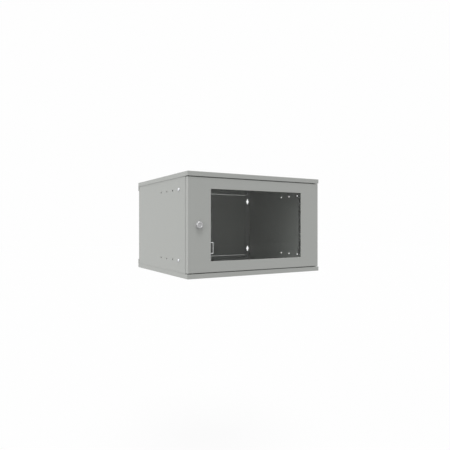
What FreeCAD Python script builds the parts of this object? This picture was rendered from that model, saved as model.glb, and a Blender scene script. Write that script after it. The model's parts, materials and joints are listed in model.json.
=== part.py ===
import FreeCAD, Part

import math
import os
import re

import Sketcher

# Wall-mounted network cabinet, six rack units high, in folded sheet steel.
# X runs across the cabinet, Y from the door (-Y) to the wall (+Y) and Z up. The origin is under the middle of
# the cabinet, between the front of the lock and the back, at the underside of the bottom cap. All in millimetres.

SIZES = {
    # caps: two alike folded pans that close the cabinet above and below
    "cabinet_width": 600,
    "cabinet_depth": 520,
    "cabinet_height": 380,
    "cap_sheet": 1.2,
    "cap_flange": 17,
    "cap_rear_flange": 37,
    "corner_seam": 0.5,
    "bend_radius": 1.5,
    "vent_slot_length": 60,
    "vent_slot_width": 5,
    "vent_pitch": 12,
    "vent_count": 11,
    "vent_setback": 130,
    "vent_offset": 110,
    "cable_entry_width": 300,
    "cable_entry_depth": 60,
    "cable_entry_setback": 45,
    "cable_entry_corner": 6,
    "cover_sheet": 1.2,
    "cover_lap": 14,
    # side panels: pans with four inward flanges
    "side_sheet": 1.2,
    "side_clearance": 0.8,
    "side_front_flange": 25,
    "side_rear_flange": 30,
    "side_cap_flange": 20,
    "corner_relief": 4,
    "row_hole": 7,
    "row_setback": 78,
    "row_pitch": 57.5,
    "row_count": 4,
    "row_end_inset": 61.3,
    "keyhole_inset": 17,
    "keyhole_end_inset": 70,
    "keyhole_head": 14,
    "keyhole_slot_width": 6.5,
    "keyhole_slot_length": 26.5,
    # back panel
    "back_seam": 0.65,
    "back_side_margin": 8,
    "back_notch_margin": 28,
    "back_band_end_inset": 90,
    "back_screw_end_inset": 103,
    "knockout_width": 166,
    "knockout_height": 55.4,
    "knockout_margin": 11.55,
    "knockout_slot": 2.3,
    "knockout_bridge": 4,
    "knockout_bridge_place": 45,
    # cross rails behind the top and bottom of the door
    "cross_sheet": 1.5,
    "cross_height": 22,
    "cross_depth": 22,
    "cross_clearance": 1,
    "cross_screw_height": 12,
    "cross_screw_inset": 14.5,
    # 19-inch mounting rails
    "rail_sheet": 2,
    "rail_opening": 450,
    "rail_setback": 36,
    "rail_side_leg": 60,
    "rail_end_gap": 45,
    "rail_bend_radius": 2.5,
    "rail_hole": 9.5,
    "rail_hole_spacing": 465,
    "rack_unit": 44.45,
    "rail_hole_step": 15.875,
    # door
    "door_sheet": 1.2,
    "door_inset": 2,
    "door_side_inset": 2,
    "door_depth": 18.5,
    "door_gap": 2.5,
    "door_stop_gap": 4,
    "door_lip": 12,
    "lip_seam": 1,
    "window_side_margin": 93,
    "window_end_margin": 59.8,
    "glass_thickness": 4,
    "glass_lap": 10,
    "tape_thickness": 0.8,
    "tape_margin": 2,
    "clip_sheet": 1.2,
    "clip_width": 20,
    "clip_foot": 12,
    "clip_reach": 5,
    "clip_clearance": 0.5,
    "bumper_diameter": 8,
    "bumper_clearance": 0.3,
    "bumper_end_inset": 60,
    # hinge: a fixed pin below and a sprung pin above, on one upright axis near the door's right edge
    "hinge_inset": 6,
    "hinge_pin": 6,
    "pin_clearance": 0.05,
    "bracket_sheet": 2,
    "bracket_reach": 17,
    "bracket_foot": 18,
    "bracket_clearance": 1.3,
    "bracket_depth": 18,
    "bush_diameter": 9,
    "bush_flange": 11,
    "bush_gap": 0.3,
    "bush_length": 9.5,
    "pin_head": 9,
    "pin_chamfer": 1,
    "pin_end_gap": 0.5,
    "pin_engagement": 5.5,
    "collar_thickness": 1.7,
    "spring_length": 17.5,
    "spring_wire": 0.8,
    "spring_gap": 0.3,
    "spring_turns": 6,
    "guide_sheet": 1.5,
    "guide_leg": 15,
    "handle_drop": 8,
    "handle_bend": 5,
    "handle_length": 16,
    # lock
    "lock_inset": 45.5,
    "lock_projection": 11,
    "lock_base": 28,
    "lock_face": 26,
    "lock_rounding": 2,
    "lock_body": 18.6,
    "lock_barrel": 13,
    "lock_recess": 0.5,
    "lock_nut_thickness": 4,
    "lock_nut_width": 24,
    "key_slot_length": 8.5,
    "key_slot_width": 2.2,
    "key_slot_depth": 6,
    "cam_sheet": 2.5,
    "cam_clearance": 0.8,
    "cam_reach": 30,
    "cam_width": 16,
    "cam_square": 8,
    "cam_screw_head": 11,
    "cam_screw_head_height": 3,
    "lock_body_margin": 3,
    # fasteners
    "stud": 6,
    "stud_length": 11,
    "stud_inset": 10,
    "stud_front_setback": 80,
    "stud_rear_setback": 440,
    "cross_stud_place": 150,
    "nut_width": 10,
    "nut_thickness": 5,
    "screw": 6,
    "screw_head": 12,
    "screw_head_height": 4,
    "screw_overrun": 1,
    "head_rounding": 0.7,
    "thread_clearance": 0.1,
    "hole_clearance": 0.3,
    "corner_screw_head": 10,
    "corner_screw_head_height": 3,
    "corner_screw_inset": 9,
    "small_screw": 4,
    "small_screw_head": 8,
    "small_screw_head_height": 1.6,
    "small_screw_overrun": 0.5,
    "small_nut_width": 7,
    "small_nut_thickness": 3,
    "clip_stud_length": 7,
    "earth_stud_length": 18,
    "earth_stud_base": 1,
    "earth_stud_flange": 12,
    "back_countersink": 1,
    "back_screw_tip": 2,
    "earth_stud_setback": 60,
    "earth_stud_inset": 60,
}

# places that follow from the sizes
PLACES = {
    "half_width": "cabinet_width / 2",
    "middle": "cabinet_height / 2",
    "front": "(lock_projection - door_inset - cabinet_depth) / 2",
    "rear": "front + cabinet_depth",
    "cap_ceiling": "cabinet_height - cap_sheet",
    "side_outer": "half_width - cap_sheet - side_clearance",
    "side_inner": "side_outer - side_sheet",
    "side_front": "door_rear + door_stop_gap",
    "side_rear": "rear - cap_sheet",
    "door_front": "front + door_inset",
    "door_inner": "door_front + door_sheet",
    "door_rear": "door_front + door_depth",
    "door_edge": "half_width - door_side_inset",
    "door_low": "cap_flange + door_gap",
    "door_high": "cabinet_height - door_low",
    "window_width": "cabinet_width - 2 * window_side_margin",
    "window_height": "cabinet_height - 2 * window_end_margin",
    "glass_front": "door_inner + tape_thickness",
    "glass_rear": "glass_front + glass_thickness",
    "glass_half_width": "window_width / 2 + glass_lap",
    "glass_half_height": "window_height / 2 + glass_lap",
    "row_height": "middle - row_end_inset",
    "keyhole_height": "middle - keyhole_end_inset",
    "back_band_height": "middle - back_band_end_inset",
    "back_screw_height": "middle - back_screw_end_inset",
    "bumper_height": "middle - bumper_end_inset",
    "rail_front": "front + rail_setback",
    "rail_length": "cabinet_height - 2 * rail_end_gap",
    "rack_units": "floor(rail_length / rack_unit)",
    "cross_front": "side_front + side_sheet",
    "keyhole_x": "half_width - keyhole_inset",
    "corner_screw_z": "cap_rear_flange - corner_screw_inset",
    "stud_x": "side_outer - stud_inset",
    "cross_screw_x": "half_width - cross_screw_inset",
    "cross_stud_y": "cross_front + cross_depth / 2",
    "entry_rear": "rear - cable_entry_setback",
    "entry_front": "entry_rear - cable_entry_depth",
    "hinge_x": "door_edge - hinge_inset",
    "hinge_y": "door_front + hinge_inset",
    "bush_bottom": "door_high - bush_length",
    "collar_top": "bush_bottom - bush_gap",
    "spring_top": "collar_top - collar_thickness",
    "guide_top": "spring_top - spring_length",
    "lock_x": "lock_inset - half_width",
    "cam_front": "side_front + side_sheet + cam_clearance",
    "clip_stud": "(clip_clearance + clip_sheet + clip_foot) / 2",
}

DOCUMENT = FreeCAD.newDocument("wall_cabinet")
SHEET = DOCUMENT.addObject("Spreadsheet::Sheet", "sizes")
for row, (alias, size) in enumerate(SIZES.items(), 1):
    SHEET.set(f"A{row}", alias)
    SHEET.set(f"B{row}", str(size))
    SHEET.setAlias(f"B{row}", alias)
DOCUMENT.recompute()

WORD = re.compile(r"[a-z_]+")
FINISHED = []


def formula(text):
    """The text as an expression of the sheet's cells, with every place written out."""

    def written_out(match):
        word = match.group()
        if word in PLACES:
            return f"({formula(PLACES[word])})"
        return f"sizes.{word}" if word in SIZES else word

    return WORD.sub(written_out, str(text))


def number(text):
    return float(SHEET.evalExpression(formula(text)))


def new_body(name):
    body = DOCUMENT.addObject("PartDesign::Body", name)
    body.AllowCompound = True
    return body


def finish(item, node):
    """Names an object as a node of the cabinet, to be written to its own file."""
    item.Label = node
    FINISHED.append(item)
    return item


# sketch geometry


def hold(sketch, geometry, point, u, v):
    """Holds one point of a sketch element at a place counted from the sketch's origin."""
    for kind, text in (("DistanceX", u), ("DistanceY", v)):
        constraint = Sketcher.Constraint(kind, -1, 1, geometry, point, number(text))
        index = sketch.addConstraint(constraint)
        sketch.setExpression(f"Constraints[{index}]", formula(text))


def polygon(*corners):
    """A closed outline of straight lines through corners (u, v)."""

    def draw(sketch):
        spots = [FreeCAD.Vector(number(u), number(v), 0) for u, v in corners]
        following = spots[1:] + spots[:1]
        lines = [sketch.addGeometry(Part.LineSegment(a, b)) for a, b in zip(spots, following)]
        for line, after in zip(lines, lines[1:] + lines[:1]):
            sketch.addConstraint(Sketcher.Constraint("Coincident", line, 2, after, 1))
        for line, (u, v) in zip(lines, corners):
            hold(sketch, line, 1, u, v)

    return draw


def rectangle(left, right, low, high):
    return polygon((left, low), (right, low), (right, high), (left, high))


def circle(u, v, diameter):
    def draw(sketch):
        centre = FreeCAD.Vector(number(u), number(v), 0)
        ring = Part.Circle(centre, FreeCAD.Vector(0, 0, 1), number(diameter) / 2)
        geometry = sketch.addGeometry(ring)
        hold(sketch, geometry, 3, u, v)
        index = sketch.addConstraint(Sketcher.Constraint("Diameter", geometry, number(diameter)))
        sketch.setExpression(f"Constraints[{index}]", formula(diameter))

    return draw


def slot(u, v, length, width):
    """A slot with round ends that runs along the sketch's second axis."""
    half_turn = math.pi
    straight = f"(({length}) - ({width})) / 2"

    def draw(sketch):
        up = FreeCAD.Vector(0, 0, 1)
        radius = number(width) / 2
        top, bottom = f"({v}) + {straight}", f"({v}) - {straight}"
        high = FreeCAD.Vector(number(u), number(top), 0)
        low = FreeCAD.Vector(number(u), number(bottom), 0)
        side = FreeCAD.Vector(radius, 0, 0)
        over = sketch.addGeometry(Part.ArcOfCircle(Part.Circle(high, up, radius), 0, half_turn))
        under = sketch.addGeometry(
            Part.ArcOfCircle(Part.Circle(low, up, radius), half_turn, 2 * half_turn)
        )
        left = sketch.addGeometry(Part.LineSegment(high - side, low - side))
        right = sketch.addGeometry(Part.LineSegment(low + side, high + side))
        for first, first_end, second, second_end in (
            (over, 2, left, 1),
            (left, 2, under, 1),
            (under, 2, right, 1),
            (right, 2, over, 1),
        ):
            joint = Sketcher.Constraint("Tangent", first, first_end, second, second_end)
            sketch.addConstraint(joint)
        sketch.addConstraint(Sketcher.Constraint("Equal", over, under))
        hold(sketch, over, 3, u, top)
        hold(sketch, under, 3, u, bottom)
        index = sketch.addConstraint(Sketcher.Constraint("Radius", over, radius))
        sketch.setExpression(f"Constraints[{index}]", formula(f"({width}) / 2"))

    return draw


def hexagon(u, v, width):
    """A nut's outline, given the width across its flats."""
    corner = f"({width}) / sqrt(3)"
    half = f"({width}) / sqrt(12)"
    flat = f"({width}) / 2"
    return polygon(
        (f"({u}) + {corner}", v),
        (f"({u}) + {half}", f"({v}) + {flat}"),
        (f"({u}) - {half}", f"({v}) + {flat}"),
        (f"({u}) - {corner}", v),
        (f"({u}) - {half}", f"({v}) - {flat}"),
        (f"({u}) + {half}", f"({v}) - {flat}"),
    )


# features


def sketch_on(body, plane, place, outlines):
    """A sketch parallel to one of the body's own origin planes, at a place along that plane's axis."""
    sketch = body.newObject("Sketcher::SketchObject", "sketch")
    role = f"{plane}_Plane"
    support = next(item for item in body.Origin.OriginFeatures if item.Role == role)
    sketch.AttachmentSupport = (support, [""])
    sketch.MapMode = "FlatFace"
    way = "-" if plane == "XZ" else ""
    sketch.setExpression("AttachmentOffset.Base.z", formula(f"{way}({place})"))
    for outline in outlines:
        outline(sketch)
    return sketch


def pad(body, plane, low, high, *outlines):
    """Material inside the outlines, between two places along the plane's axis."""
    sketch = sketch_on(body, plane, high if plane == "XZ" else low, outlines)
    feature = body.newObject("PartDesign::Pad", "pad")
    feature.Profile = sketch
    feature.setExpression("Length", formula(f"({high}) - ({low})"))
    DOCUMENT.recompute()
    return feature


def cut(body, plane, low, high, *outlines):
    """Takes away what lies inside the outlines, between two places along the plane's axis."""
    before = body.Shape.Volume
    sketch = sketch_on(body, plane, low if plane == "XZ" else high, outlines)
    feature = body.newObject("PartDesign::Pocket", "pocket")
    feature.Profile = sketch
    feature.setExpression("Length", formula(f"({high}) - ({low})"))
    DOCUMENT.recompute()
    if not body.Shape.Volume < before:
        raise RuntimeError(f"a pocket of {body.Label} cuts nothing")
    return feature


def repeat(body, feature, axis, pitch, count):
    """Repeats a feature along an axis of its own sketch, at a pitch."""
    pattern = body.newObject("PartDesign::LinearPattern", "pattern")
    pattern.Originals = [feature]
    pattern.Direction = (feature.Profile[0], [axis])
    pattern.Mode = "Spacing"
    pattern.setExpression("Offset", formula(pitch))
    pattern.setExpression("Occurrences", formula(count))
    body.Tip = pattern
    DOCUMENT.recompute()
    return pattern


def turned(body, corners):
    """A solid of revolution about the body's Z axis; corners are (radius, height)."""
    sketch = sketch_on(body, "XZ", "0", [polygon(*corners)])
    feature = body.newObject("PartDesign::Revolution", "revolution")
    feature.Profile = sketch
    feature.ReferenceAxis = (sketch, ["V_Axis"])
    feature.Angle = 360
    DOCUMENT.recompute()
    return feature


def rounded(body, radius, *places):
    """Rounds the edges that lie all along one of the places: each gives some of x, y and z."""
    tolerance = 1e-4

    def lies(edge, place):
        box = edge.BoundBox
        spans = {"x": (box.XMin, box.XMax), "y": (box.YMin, box.YMax), "z": (box.ZMin, box.ZMax)}
        return all(
            abs(end - number(text)) < tolerance for name, text in place.items() for end in spans[name]
        )

    tip = body.Tip
    names = [
        f"Edge{index}"
        for index, edge in enumerate(tip.Shape.Edges, 1)
        if any(lies(edge, place) for place in places)
    ]
    if not names:
        raise RuntimeError(f"no edge of {body.Label} lies where it should be rounded")
    feature = body.newObject("PartDesign::Fillet", "fillet")
    feature.Base = (tip, names)
    feature.setExpression("Radius", formula(radius))
    DOCUMENT.recompute()
    return feature


def countersunk(body, diameter, face, depth):
    """Chamfers the mouths of the round holes of one diameter in the body's face at a place along Y."""
    tip = body.Tip
    names = [
        f"Edge{index}"
        for index, edge in enumerate(tip.Shape.Edges, 1)
        if isinstance(edge.Curve, Part.Circle)
        and abs(edge.Curve.Radius - number(diameter) / 2) < 1e-4
        and abs(edge.Curve.Center.y - number(face)) < 1e-4
    ]
    feature = body.newObject("PartDesign::Chamfer", "chamfer")
    feature.Base = (tip, names)
    feature.setExpression("Size", formula(depth))
    DOCUMENT.recompute()
    return feature


def place(item, x=0, y=0, z=0, axis=None, angle=0):
    """Moves an object to a place, turned about an axis."""
    if axis:
        item.Placement = FreeCAD.Placement(
            FreeCAD.Vector(), FreeCAD.Rotation(FreeCAD.Vector(*axis), angle)
        )
    for name, text in (("x", x), ("y", y), ("z", z)):
        item.setExpression(f".Placement.Base.{name}", formula(text))
    return item


def group(node, master, places):
    """One node of like pieces: copies of a master, each at its place and turn."""
    links = []
    for spot in places:
        link = DOCUMENT.addObject("App::Link", "copy")
        link.LinkedObject = master
        links.append(place(link, **spot))
    compound = DOCUMENT.addObject("Part::Compound", "group")
    compound.Links = links
    DOCUMENT.recompute()
    return finish(compound, node)


def mirrored(node, source, normal, base="0"):
    """The opposite-hand twin of an object, mirrored at a place along X or Z."""
    twin = DOCUMENT.addObject("Part::Mirroring", "twin")
    twin.Source = source
    twin.Normal = FreeCAD.Vector(1, 0, 0) if normal == "X" else FreeCAD.Vector(0, 0, 1)
    twin.setExpression(f"Base.{normal.lower()}", formula(base))
    DOCUMENT.recompute()
    return finish(twin, node)


# turns that point a fastener's own Z axis along an axis of the cabinet
TO_RIGHT = {"axis": (0, 1, 0), "angle": 90}
TO_LEFT = {"axis": (0, 1, 0), "angle": -90}
TO_FRONT = {"axis": (1, 0, 0), "angle": 90}
TO_REAR = {"axis": (1, 0, 0), "angle": -90}
UPSIDE_DOWN = {"axis": (1, 0, 0), "angle": 180}


# caps


def bottom_cap():
    """A pan with low front and side flanges, a higher rear flange, open corner seams, vents and a cable entry."""
    body = new_body("bottom_cap")
    pad(body, "XY", "0", "cap_rear_flange", rectangle("-half_width", "half_width", "front", "rear"))
    cut(
        body,
        "XY",
        "cap_sheet",
        "cap_rear_flange",
        rectangle(
            "cap_sheet - half_width", "half_width - cap_sheet", "front + cap_sheet", "side_rear"
        ),
    )
    cut(
        body,
        "XY",
        "cap_flange",
        "cap_rear_flange",
        rectangle("-cabinet_width", "cabinet_width", "front - cap_sheet", "side_rear"),
    )
    rounded(
        body,
        "bend_radius",
        {"y": "front", "z": "0"},
        {"y": "rear", "z": "0"},
        {"x": "half_width", "z": "0"},
        {"x": "-half_width", "z": "0"},
    )
    seams = [
        rectangle(f"{side}(half_width - cap_sheet)", f"{side}(half_width + cap_sheet)", low, high)
        for side in ("", "-")
        for low, high in (
            ("front + cap_sheet", "front + cap_sheet + corner_seam"),
            ("side_rear - corner_seam", "side_rear"),
        )
    ]
    cut(body, "XY", "2 * cap_sheet", "cap_rear_flange", *seams)
    cut(
        body,
        "XY",
        "0",
        "cap_sheet",
        rectangle("-cable_entry_width / 2", "cable_entry_width / 2", "entry_front", "entry_rear"),
    )
    rounded(
        body,
        "cable_entry_corner",
        *(
            {"x": f"{side}cable_entry_width / 2", "y": y}
            for side in ("", "-")
            for y in ("entry_front", "entry_rear")
        ),
    )
    for side in ("", "-"):
        first = cut(
            body,
            "XY",
            "0",
            "cap_sheet",
            slot(
                f"{side}vent_offset - (vent_count - 1) / 2 * vent_pitch",
                "front + vent_setback",
                "vent_slot_length",
                "vent_slot_width",
            ),
        )
        repeat(body, first, "H_Axis", "vent_pitch", "vent_count")
    cut(body, "XY", "0", "cap_sheet", *(circle(x, y, "small_screw") for x, y in cover_screw_places()))
    pad(
        body,
        "XY",
        "cap_sheet",
        "cap_sheet + stud_length",
        *(circle(x, y, "stud") for x, y in stud_places()),
    )
    cut(
        body,
        "XZ",
        "side_rear",
        "rear",
        circle("keyhole_x", "corner_screw_z", "screw + 2 * thread_clearance"),
        circle("-keyhole_x", "corner_screw_z", "screw + 2 * thread_clearance"),
    )
    return finish(body, "bottom_cap")


def stud_places():
    """Where a cap's welded studs stand: four in the side panels' flanges and two in the cross rail."""
    for side in ("", "-"):
        yield f"{side}stud_x", "front + stud_front_setback"
        yield f"{side}stud_x", "front + stud_rear_setback"
        yield f"{side}cross_stud_place", "cross_stud_y"


def cover_screw_places():
    for side in ("", "-"):
        for y in ("entry_front - cover_lap / 2", "entry_rear + cover_lap / 2"):
            yield f"{side}(cable_entry_width / 2 - cover_lap)", y


def cable_cover():
    """The plate that closes a cap's cable entry from inside."""
    body = new_body("cable_cover_bottom")
    pad(
        body,
        "XY",
        "cap_sheet",
        "cap_sheet + cover_sheet",
        rectangle(
            "-cable_entry_width / 2 - cover_lap",
            "cable_entry_width / 2 + cover_lap",
            "entry_front - cover_lap",
            "entry_rear + cover_lap",
        ),
    )
    cut(
        body,
        "XY",
        "cap_sheet",
        "cap_sheet + cover_sheet",
        *(circle(x, y, "small_screw + hole_clearance") for x, y in cover_screw_places()),
    )
    return finish(body, "cable_cover_bottom")


# sides and back


def side_panel_right():
    """A pan with four inward flanges: the rear one holds the keyholes and the web holds the rows of rail holes."""
    body = new_body("side_panel_right")
    lowest, highest = "cap_sheet", "cap_ceiling"
    tip = "side_outer - side_rear_flange"
    pad(body, "YZ", tip, "side_outer", rectangle("side_front", "side_rear", lowest, highest))
    cut(
        body,
        "YZ",
        tip,
        "side_inner",
        rectangle(
            "side_front + side_sheet",
            "side_rear - side_sheet",
            "cap_sheet + side_sheet",
            "cap_ceiling - side_sheet",
        ),
    )
    cut(
        body,
        "YZ",
        tip,
        "side_outer - side_front_flange",
        rectangle("side_front - side_sheet", "side_front + side_sheet", "0", "cabinet_height"),
    )
    cut(
        body,
        "YZ",
        tip,
        "side_outer - side_cap_flange",
        rectangle("side_front + side_sheet", "side_rear - side_sheet", "0", "cabinet_height"),
    )
    rounded(
        body,
        "bend_radius",
        {"x": "side_outer", "y": "side_front"},
        {"x": "side_outer", "y": "side_rear"},
        {"x": "side_outer", "z": "cap_sheet"},
        {"x": "side_outer", "z": "cap_ceiling"},
    )
    cut(
        body,
        "YZ",
        tip,
        "side_inner",
        *(
            rectangle(y_low, y_high, z_low, z_high)
            for y_low, y_high in (
                ("side_front + side_sheet", "side_front + side_sheet + corner_relief"),
                ("side_rear - side_sheet - corner_relief", "side_rear - side_sheet"),
            )
            for z_low, z_high in (
                ("0", "cap_sheet + side_sheet"),
                ("cap_ceiling - side_sheet", "cabinet_height"),
            )
        ),
    )
    heads = [
        circle("keyhole_x", f"middle {way} keyhole_height", "keyhole_head") for way in ("+", "-")
    ]
    slots = [
        slot(
            "keyhole_x",
            f"middle {way} keyhole_height",
            "keyhole_slot_length",
            "keyhole_slot_width",
        )
        for way in ("+", "-")
    ]
    cut(body, "XZ", "side_rear - side_sheet", "side_rear", *slots)
    cut(body, "XZ", "side_rear - side_sheet", "side_rear", *heads)
    row = cut(
        body,
        "YZ",
        "side_inner",
        "side_outer",
        *(
            circle("front + row_setback", f"middle {way} row_height", "row_hole")
            for way in ("+", "-")
        ),
    )
    repeat(body, row, "H_Axis", "row_pitch", "row_count")
    cut(
        body,
        "XZ",
        "side_rear - side_sheet",
        "side_rear",
        *(
            circle("keyhole_x", z, "screw + 2 * hole_clearance")
            for z in ("corner_screw_z", "cabinet_height - corner_screw_z")
        ),
        *(
            circle("keyhole_x", f"middle {way} back_screw_height", "small_screw + thread_clearance")
            for way in ("+", "-")
        ),
    )
    cut(
        body,
        "XZ",
        "side_front",
        "side_front + side_sheet",
        *(
            circle("cross_screw_x", z, "small_screw + hole_clearance")
            for z in ("cross_screw_height", "cabinet_height - cross_screw_height")
        ),
    )
    for low, high in (
        ("cap_sheet", "cap_sheet + side_sheet"),
        ("cap_ceiling - side_sheet", "cap_ceiling"),
    ):
        cut(
            body,
            "XY",
            low,
            high,
            *(
                circle("stud_x", f"front + {setback}", "stud + 2 * hole_clearance")
                for setback in ("stud_front_setback", "stud_rear_setback")
            ),
        )
    return finish(body, "side_panel_right")


def back_panel():
    """A flat sheet, notched round the keyholes, with a cable knock-out held by four bridges."""
    body = new_body("back_panel")
    low, high = "cap_rear_flange + back_seam", "cabinet_height - cap_rear_flange - back_seam"
    wide, narrow = "half_width - back_side_margin", "half_width - back_notch_margin"
    band_low, band_high = "middle - back_band_height", "middle + back_band_height"
    pad(
        body,
        "XZ",
        "side_rear",
        "rear",
        polygon(
            (f"-({narrow})", low),
            (narrow, low),
            (narrow, band_low),
            (wide, band_low),
            (wide, band_high),
            (narrow, band_high),
            (narrow, high),
            (f"-({narrow})", high),
            (f"-({narrow})", band_high),
            (f"-({wide})", band_high),
            (f"-({wide})", band_low),
            (f"-({narrow})", band_low),
        ),
    )
    bottom = f"{low} + knockout_margin"
    top = f"{bottom} + knockout_height"
    side = "knockout_width / 2"
    near, far = (
        f"knockout_bridge_place {way} knockout_bridge / 2" for way in ("-", "+")
    )
    ends = [
        polygon(
            (f"{hand}({far})", bottom),
            (f"{hand}({side})", bottom),
            (f"{hand}({side})", top),
            (f"{hand}({far})", top),
            (f"{hand}({far})", f"{top} - knockout_slot"),
            (f"{hand}({side} - knockout_slot)", f"{top} - knockout_slot"),
            (f"{hand}({side} - knockout_slot)", f"{bottom} + knockout_slot"),
            (f"{hand}({far})", f"{bottom} + knockout_slot"),
        )
        for hand in ("", "-")
    ]
    middles = [
        rectangle(f"-({near})", near, bottom, f"{bottom} + knockout_slot"),
        rectangle(f"-({near})", near, f"{top} - knockout_slot", top),
    ]
    cut(body, "XZ", "side_rear", "rear", *ends, *middles)
    cut(
        body,
        "XZ",
        "side_rear",
        "rear",
        *(
            circle(f"{hand}keyhole_x", f"middle {way} back_screw_height", "small_screw + hole_clearance")
            for hand in ("", "-")
            for way in ("+", "-")
        ),
    )
    countersunk(body, "small_screw + hole_clearance", "rear", "back_countersink")
    return finish(body, "back_panel")


def front_rail_lower():
    """An angle that joins the side panels' front flanges under the door and seats on the cap."""
    body = new_body("front_rail_lower")
    low, high = "cap_sheet", "cap_sheet + cross_height"
    inner = "side_outer - side_cap_flange - cross_clearance"
    outer = "side_inner - cross_clearance"
    tab = "cap_sheet + side_sheet + cross_clearance"
    pad(
        body,
        "XZ",
        "cross_front",
        "cross_front + cross_sheet",
        polygon(
            (f"-({inner})", low),
            (inner, low),
            (inner, tab),
            (outer, tab),
            (outer, high),
            (f"-({outer})", high),
            (f"-({outer})", tab),
            (f"-({inner})", tab),
        ),
    )
    pad(
        body,
        "XY",
        "cap_sheet",
        "cap_sheet + cross_sheet",
        rectangle(f"-({inner})", inner, "cross_front", "cross_front + cross_depth"),
    )
    rounded(body, "bend_radius", {"y": "cross_front", "z": "cap_sheet"})
    cut(
        body,
        "XY",
        "cap_sheet",
        "cap_sheet + cross_sheet",
        *(
            circle(f"{side}cross_stud_place", "cross_stud_y", "stud + 2 * hole_clearance")
            for side in ("", "-")
        ),
    )
    cut(
        body,
        "XZ",
        "cross_front",
        "cross_front + cross_sheet",
        *(
            circle(f"{side}cross_screw_x", "cross_screw_height", "small_screw + hole_clearance")
            for side in ("", "-")
        ),
    )
    return finish(body, "front_rail_lower")


def mounting_rail_right():
    """An angle with square holes for cage nuts at the 19-inch spacing, three to each rack unit."""
    body = new_body("mounting_rail_right")
    low, high = "middle - rail_length / 2", "middle + rail_length / 2"
    pad(
        body,
        "XZ",
        "rail_front",
        "rail_front + rail_sheet",
        rectangle("rail_opening / 2", "side_inner", low, high),
    )
    pad(
        body,
        "YZ",
        "side_inner - rail_sheet",
        "side_inner",
        rectangle("rail_front", "rail_front + rail_side_leg", low, high),
    )
    rounded(body, "rail_bend_radius", {"x": "side_inner", "y": "rail_front"})
    first_middle = "middle - (rack_units - 1) / 2 * rack_unit"
    squares = [
        rectangle(
            "(rail_hole_spacing - rail_hole) / 2",
            "(rail_hole_spacing + rail_hole) / 2",
            f"{first_middle} + {step} * rail_hole_step - rail_hole / 2",
            f"{first_middle} + {step} * rail_hole_step + rail_hole / 2",
        )
        for step in (-1, 0, 1)
    ]
    unit = cut(body, "XZ", "rail_front", "rail_front + rail_sheet", *squares)
    repeat(body, unit, "V_Axis", "rack_unit", "rack_units")
    cut(
        body,
        "YZ",
        "side_inner - rail_sheet",
        "side_inner",
        *(
            circle("front + row_setback", f"middle {way} row_height", "screw + 2 * hole_clearance")
            for way in ("+", "-")
        ),
    )
    return finish(body, "mounting_rail_right")


# door


def door_panel():
    """A pan with a large window, a narrow lip all round its open back, and welded studs for the glass clips."""
    body = new_body("door_panel")
    pad(
        body,
        "XZ",
        "door_front",
        "door_rear",
        rectangle("-door_edge", "door_edge", "door_low", "door_high"),
    )
    rounded(
        body,
        "bend_radius",
        {"y": "door_front", "x": "door_edge"},
        {"y": "door_front", "x": "-door_edge"},
        {"y": "door_front", "z": "door_low"},
        {"y": "door_front", "z": "door_high"},
    )
    cut(
        body,
        "XZ",
        "door_inner",
        "door_rear",
        rectangle(
            "door_sheet - door_edge",
            "door_edge - door_sheet",
            "door_low + door_sheet",
            "door_high - door_sheet",
        ),
    )
    clear = "door_edge - door_lip"
    side_low, side_high = "door_low + door_lip + lip_seam", "door_high - door_lip - lip_seam"
    pad(
        body,
        "XZ",
        "door_rear - door_sheet",
        "door_rear",
        rectangle(f"-({clear} - lip_seam)", f"{clear} - lip_seam", "door_low", "door_low + door_lip"),
        rectangle(f"-({clear} - lip_seam)", f"{clear} - lip_seam", "door_high - door_lip", "door_high"),
    )
    pad(
        body,
        "XZ",
        "door_rear - door_sheet",
        "door_rear",
        rectangle(clear, "door_edge", side_low, side_high),
        rectangle("-door_edge", f"-({clear})", side_low, side_high),
    )
    cut(
        body,
        "XZ",
        "door_front",
        "door_inner",
        rectangle(
            "-window_width / 2",
            "window_width / 2",
            "middle - window_height / 2",
            "middle + window_height / 2",
        ),
    )
    cut(body, "XZ", "door_front", "door_inner", circle("lock_x", "middle", "lock_body + hole_clearance"))
    cut(
        body,
        "XY",
        "door_low",
        "door_low + door_sheet",
        circle("hinge_x", "hinge_y", "bush_diameter + 2 * pin_clearance"),
    )
    cut(
        body,
        "XY",
        "door_high - door_sheet",
        "door_high",
        circle("hinge_x", "hinge_y", "bush_diameter + 2 * pin_clearance"),
    )
    pad(
        body,
        "XZ",
        "door_inner",
        "door_inner + clip_stud_length",
        *(circle(x, z, "small_screw") for x, z, _ in clip_places("clip_stud")),
    )
    return finish(body, "door_panel")


def clip_places(beyond):
    """Where the eight glass clips stand, this far beyond the glass's edge, with each clip's turn about Y."""
    for hand, turn in (("", 90), ("-", -90)):
        for way in ("+", "-"):
            yield f"{hand}(glass_half_width + {beyond})", f"middle {way} window_height / 4", turn
    for hand in ("", "-"):
        yield f"{hand}window_width / 4", f"middle + glass_half_height + {beyond}", 0
        yield f"{hand}window_width / 4", f"middle - glass_half_height - {beyond}", 180


def door_glass():
    body = new_body("door_glass")
    pad(
        body,
        "XZ",
        "glass_front",
        "glass_rear",
        rectangle(
            "-glass_half_width",
            "glass_half_width",
            "middle - glass_half_height",
            "middle + glass_half_height",
        ),
    )
    return finish(body, "door_glass")


def glass_tape():
    """The thin foam frame between the door sheet and the glass."""
    body = new_body("glass_tape")
    pad(
        body,
        "XZ",
        "door_inner",
        "glass_front",
        *(
            rectangle(
                f"-({width} / 2 + {beyond})",
                f"{width} / 2 + {beyond}",
                f"middle - {height} / 2 - ({beyond})",
                f"middle + {height} / 2 + {beyond}",
            )
            for width, height, beyond in (
                ("window_width", "window_height", "glass_lap - tape_margin / 2"),
                ("window_width", "window_height", "tape_margin"),
            )
        ),
    )
    return finish(body, "glass_tape")


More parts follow.
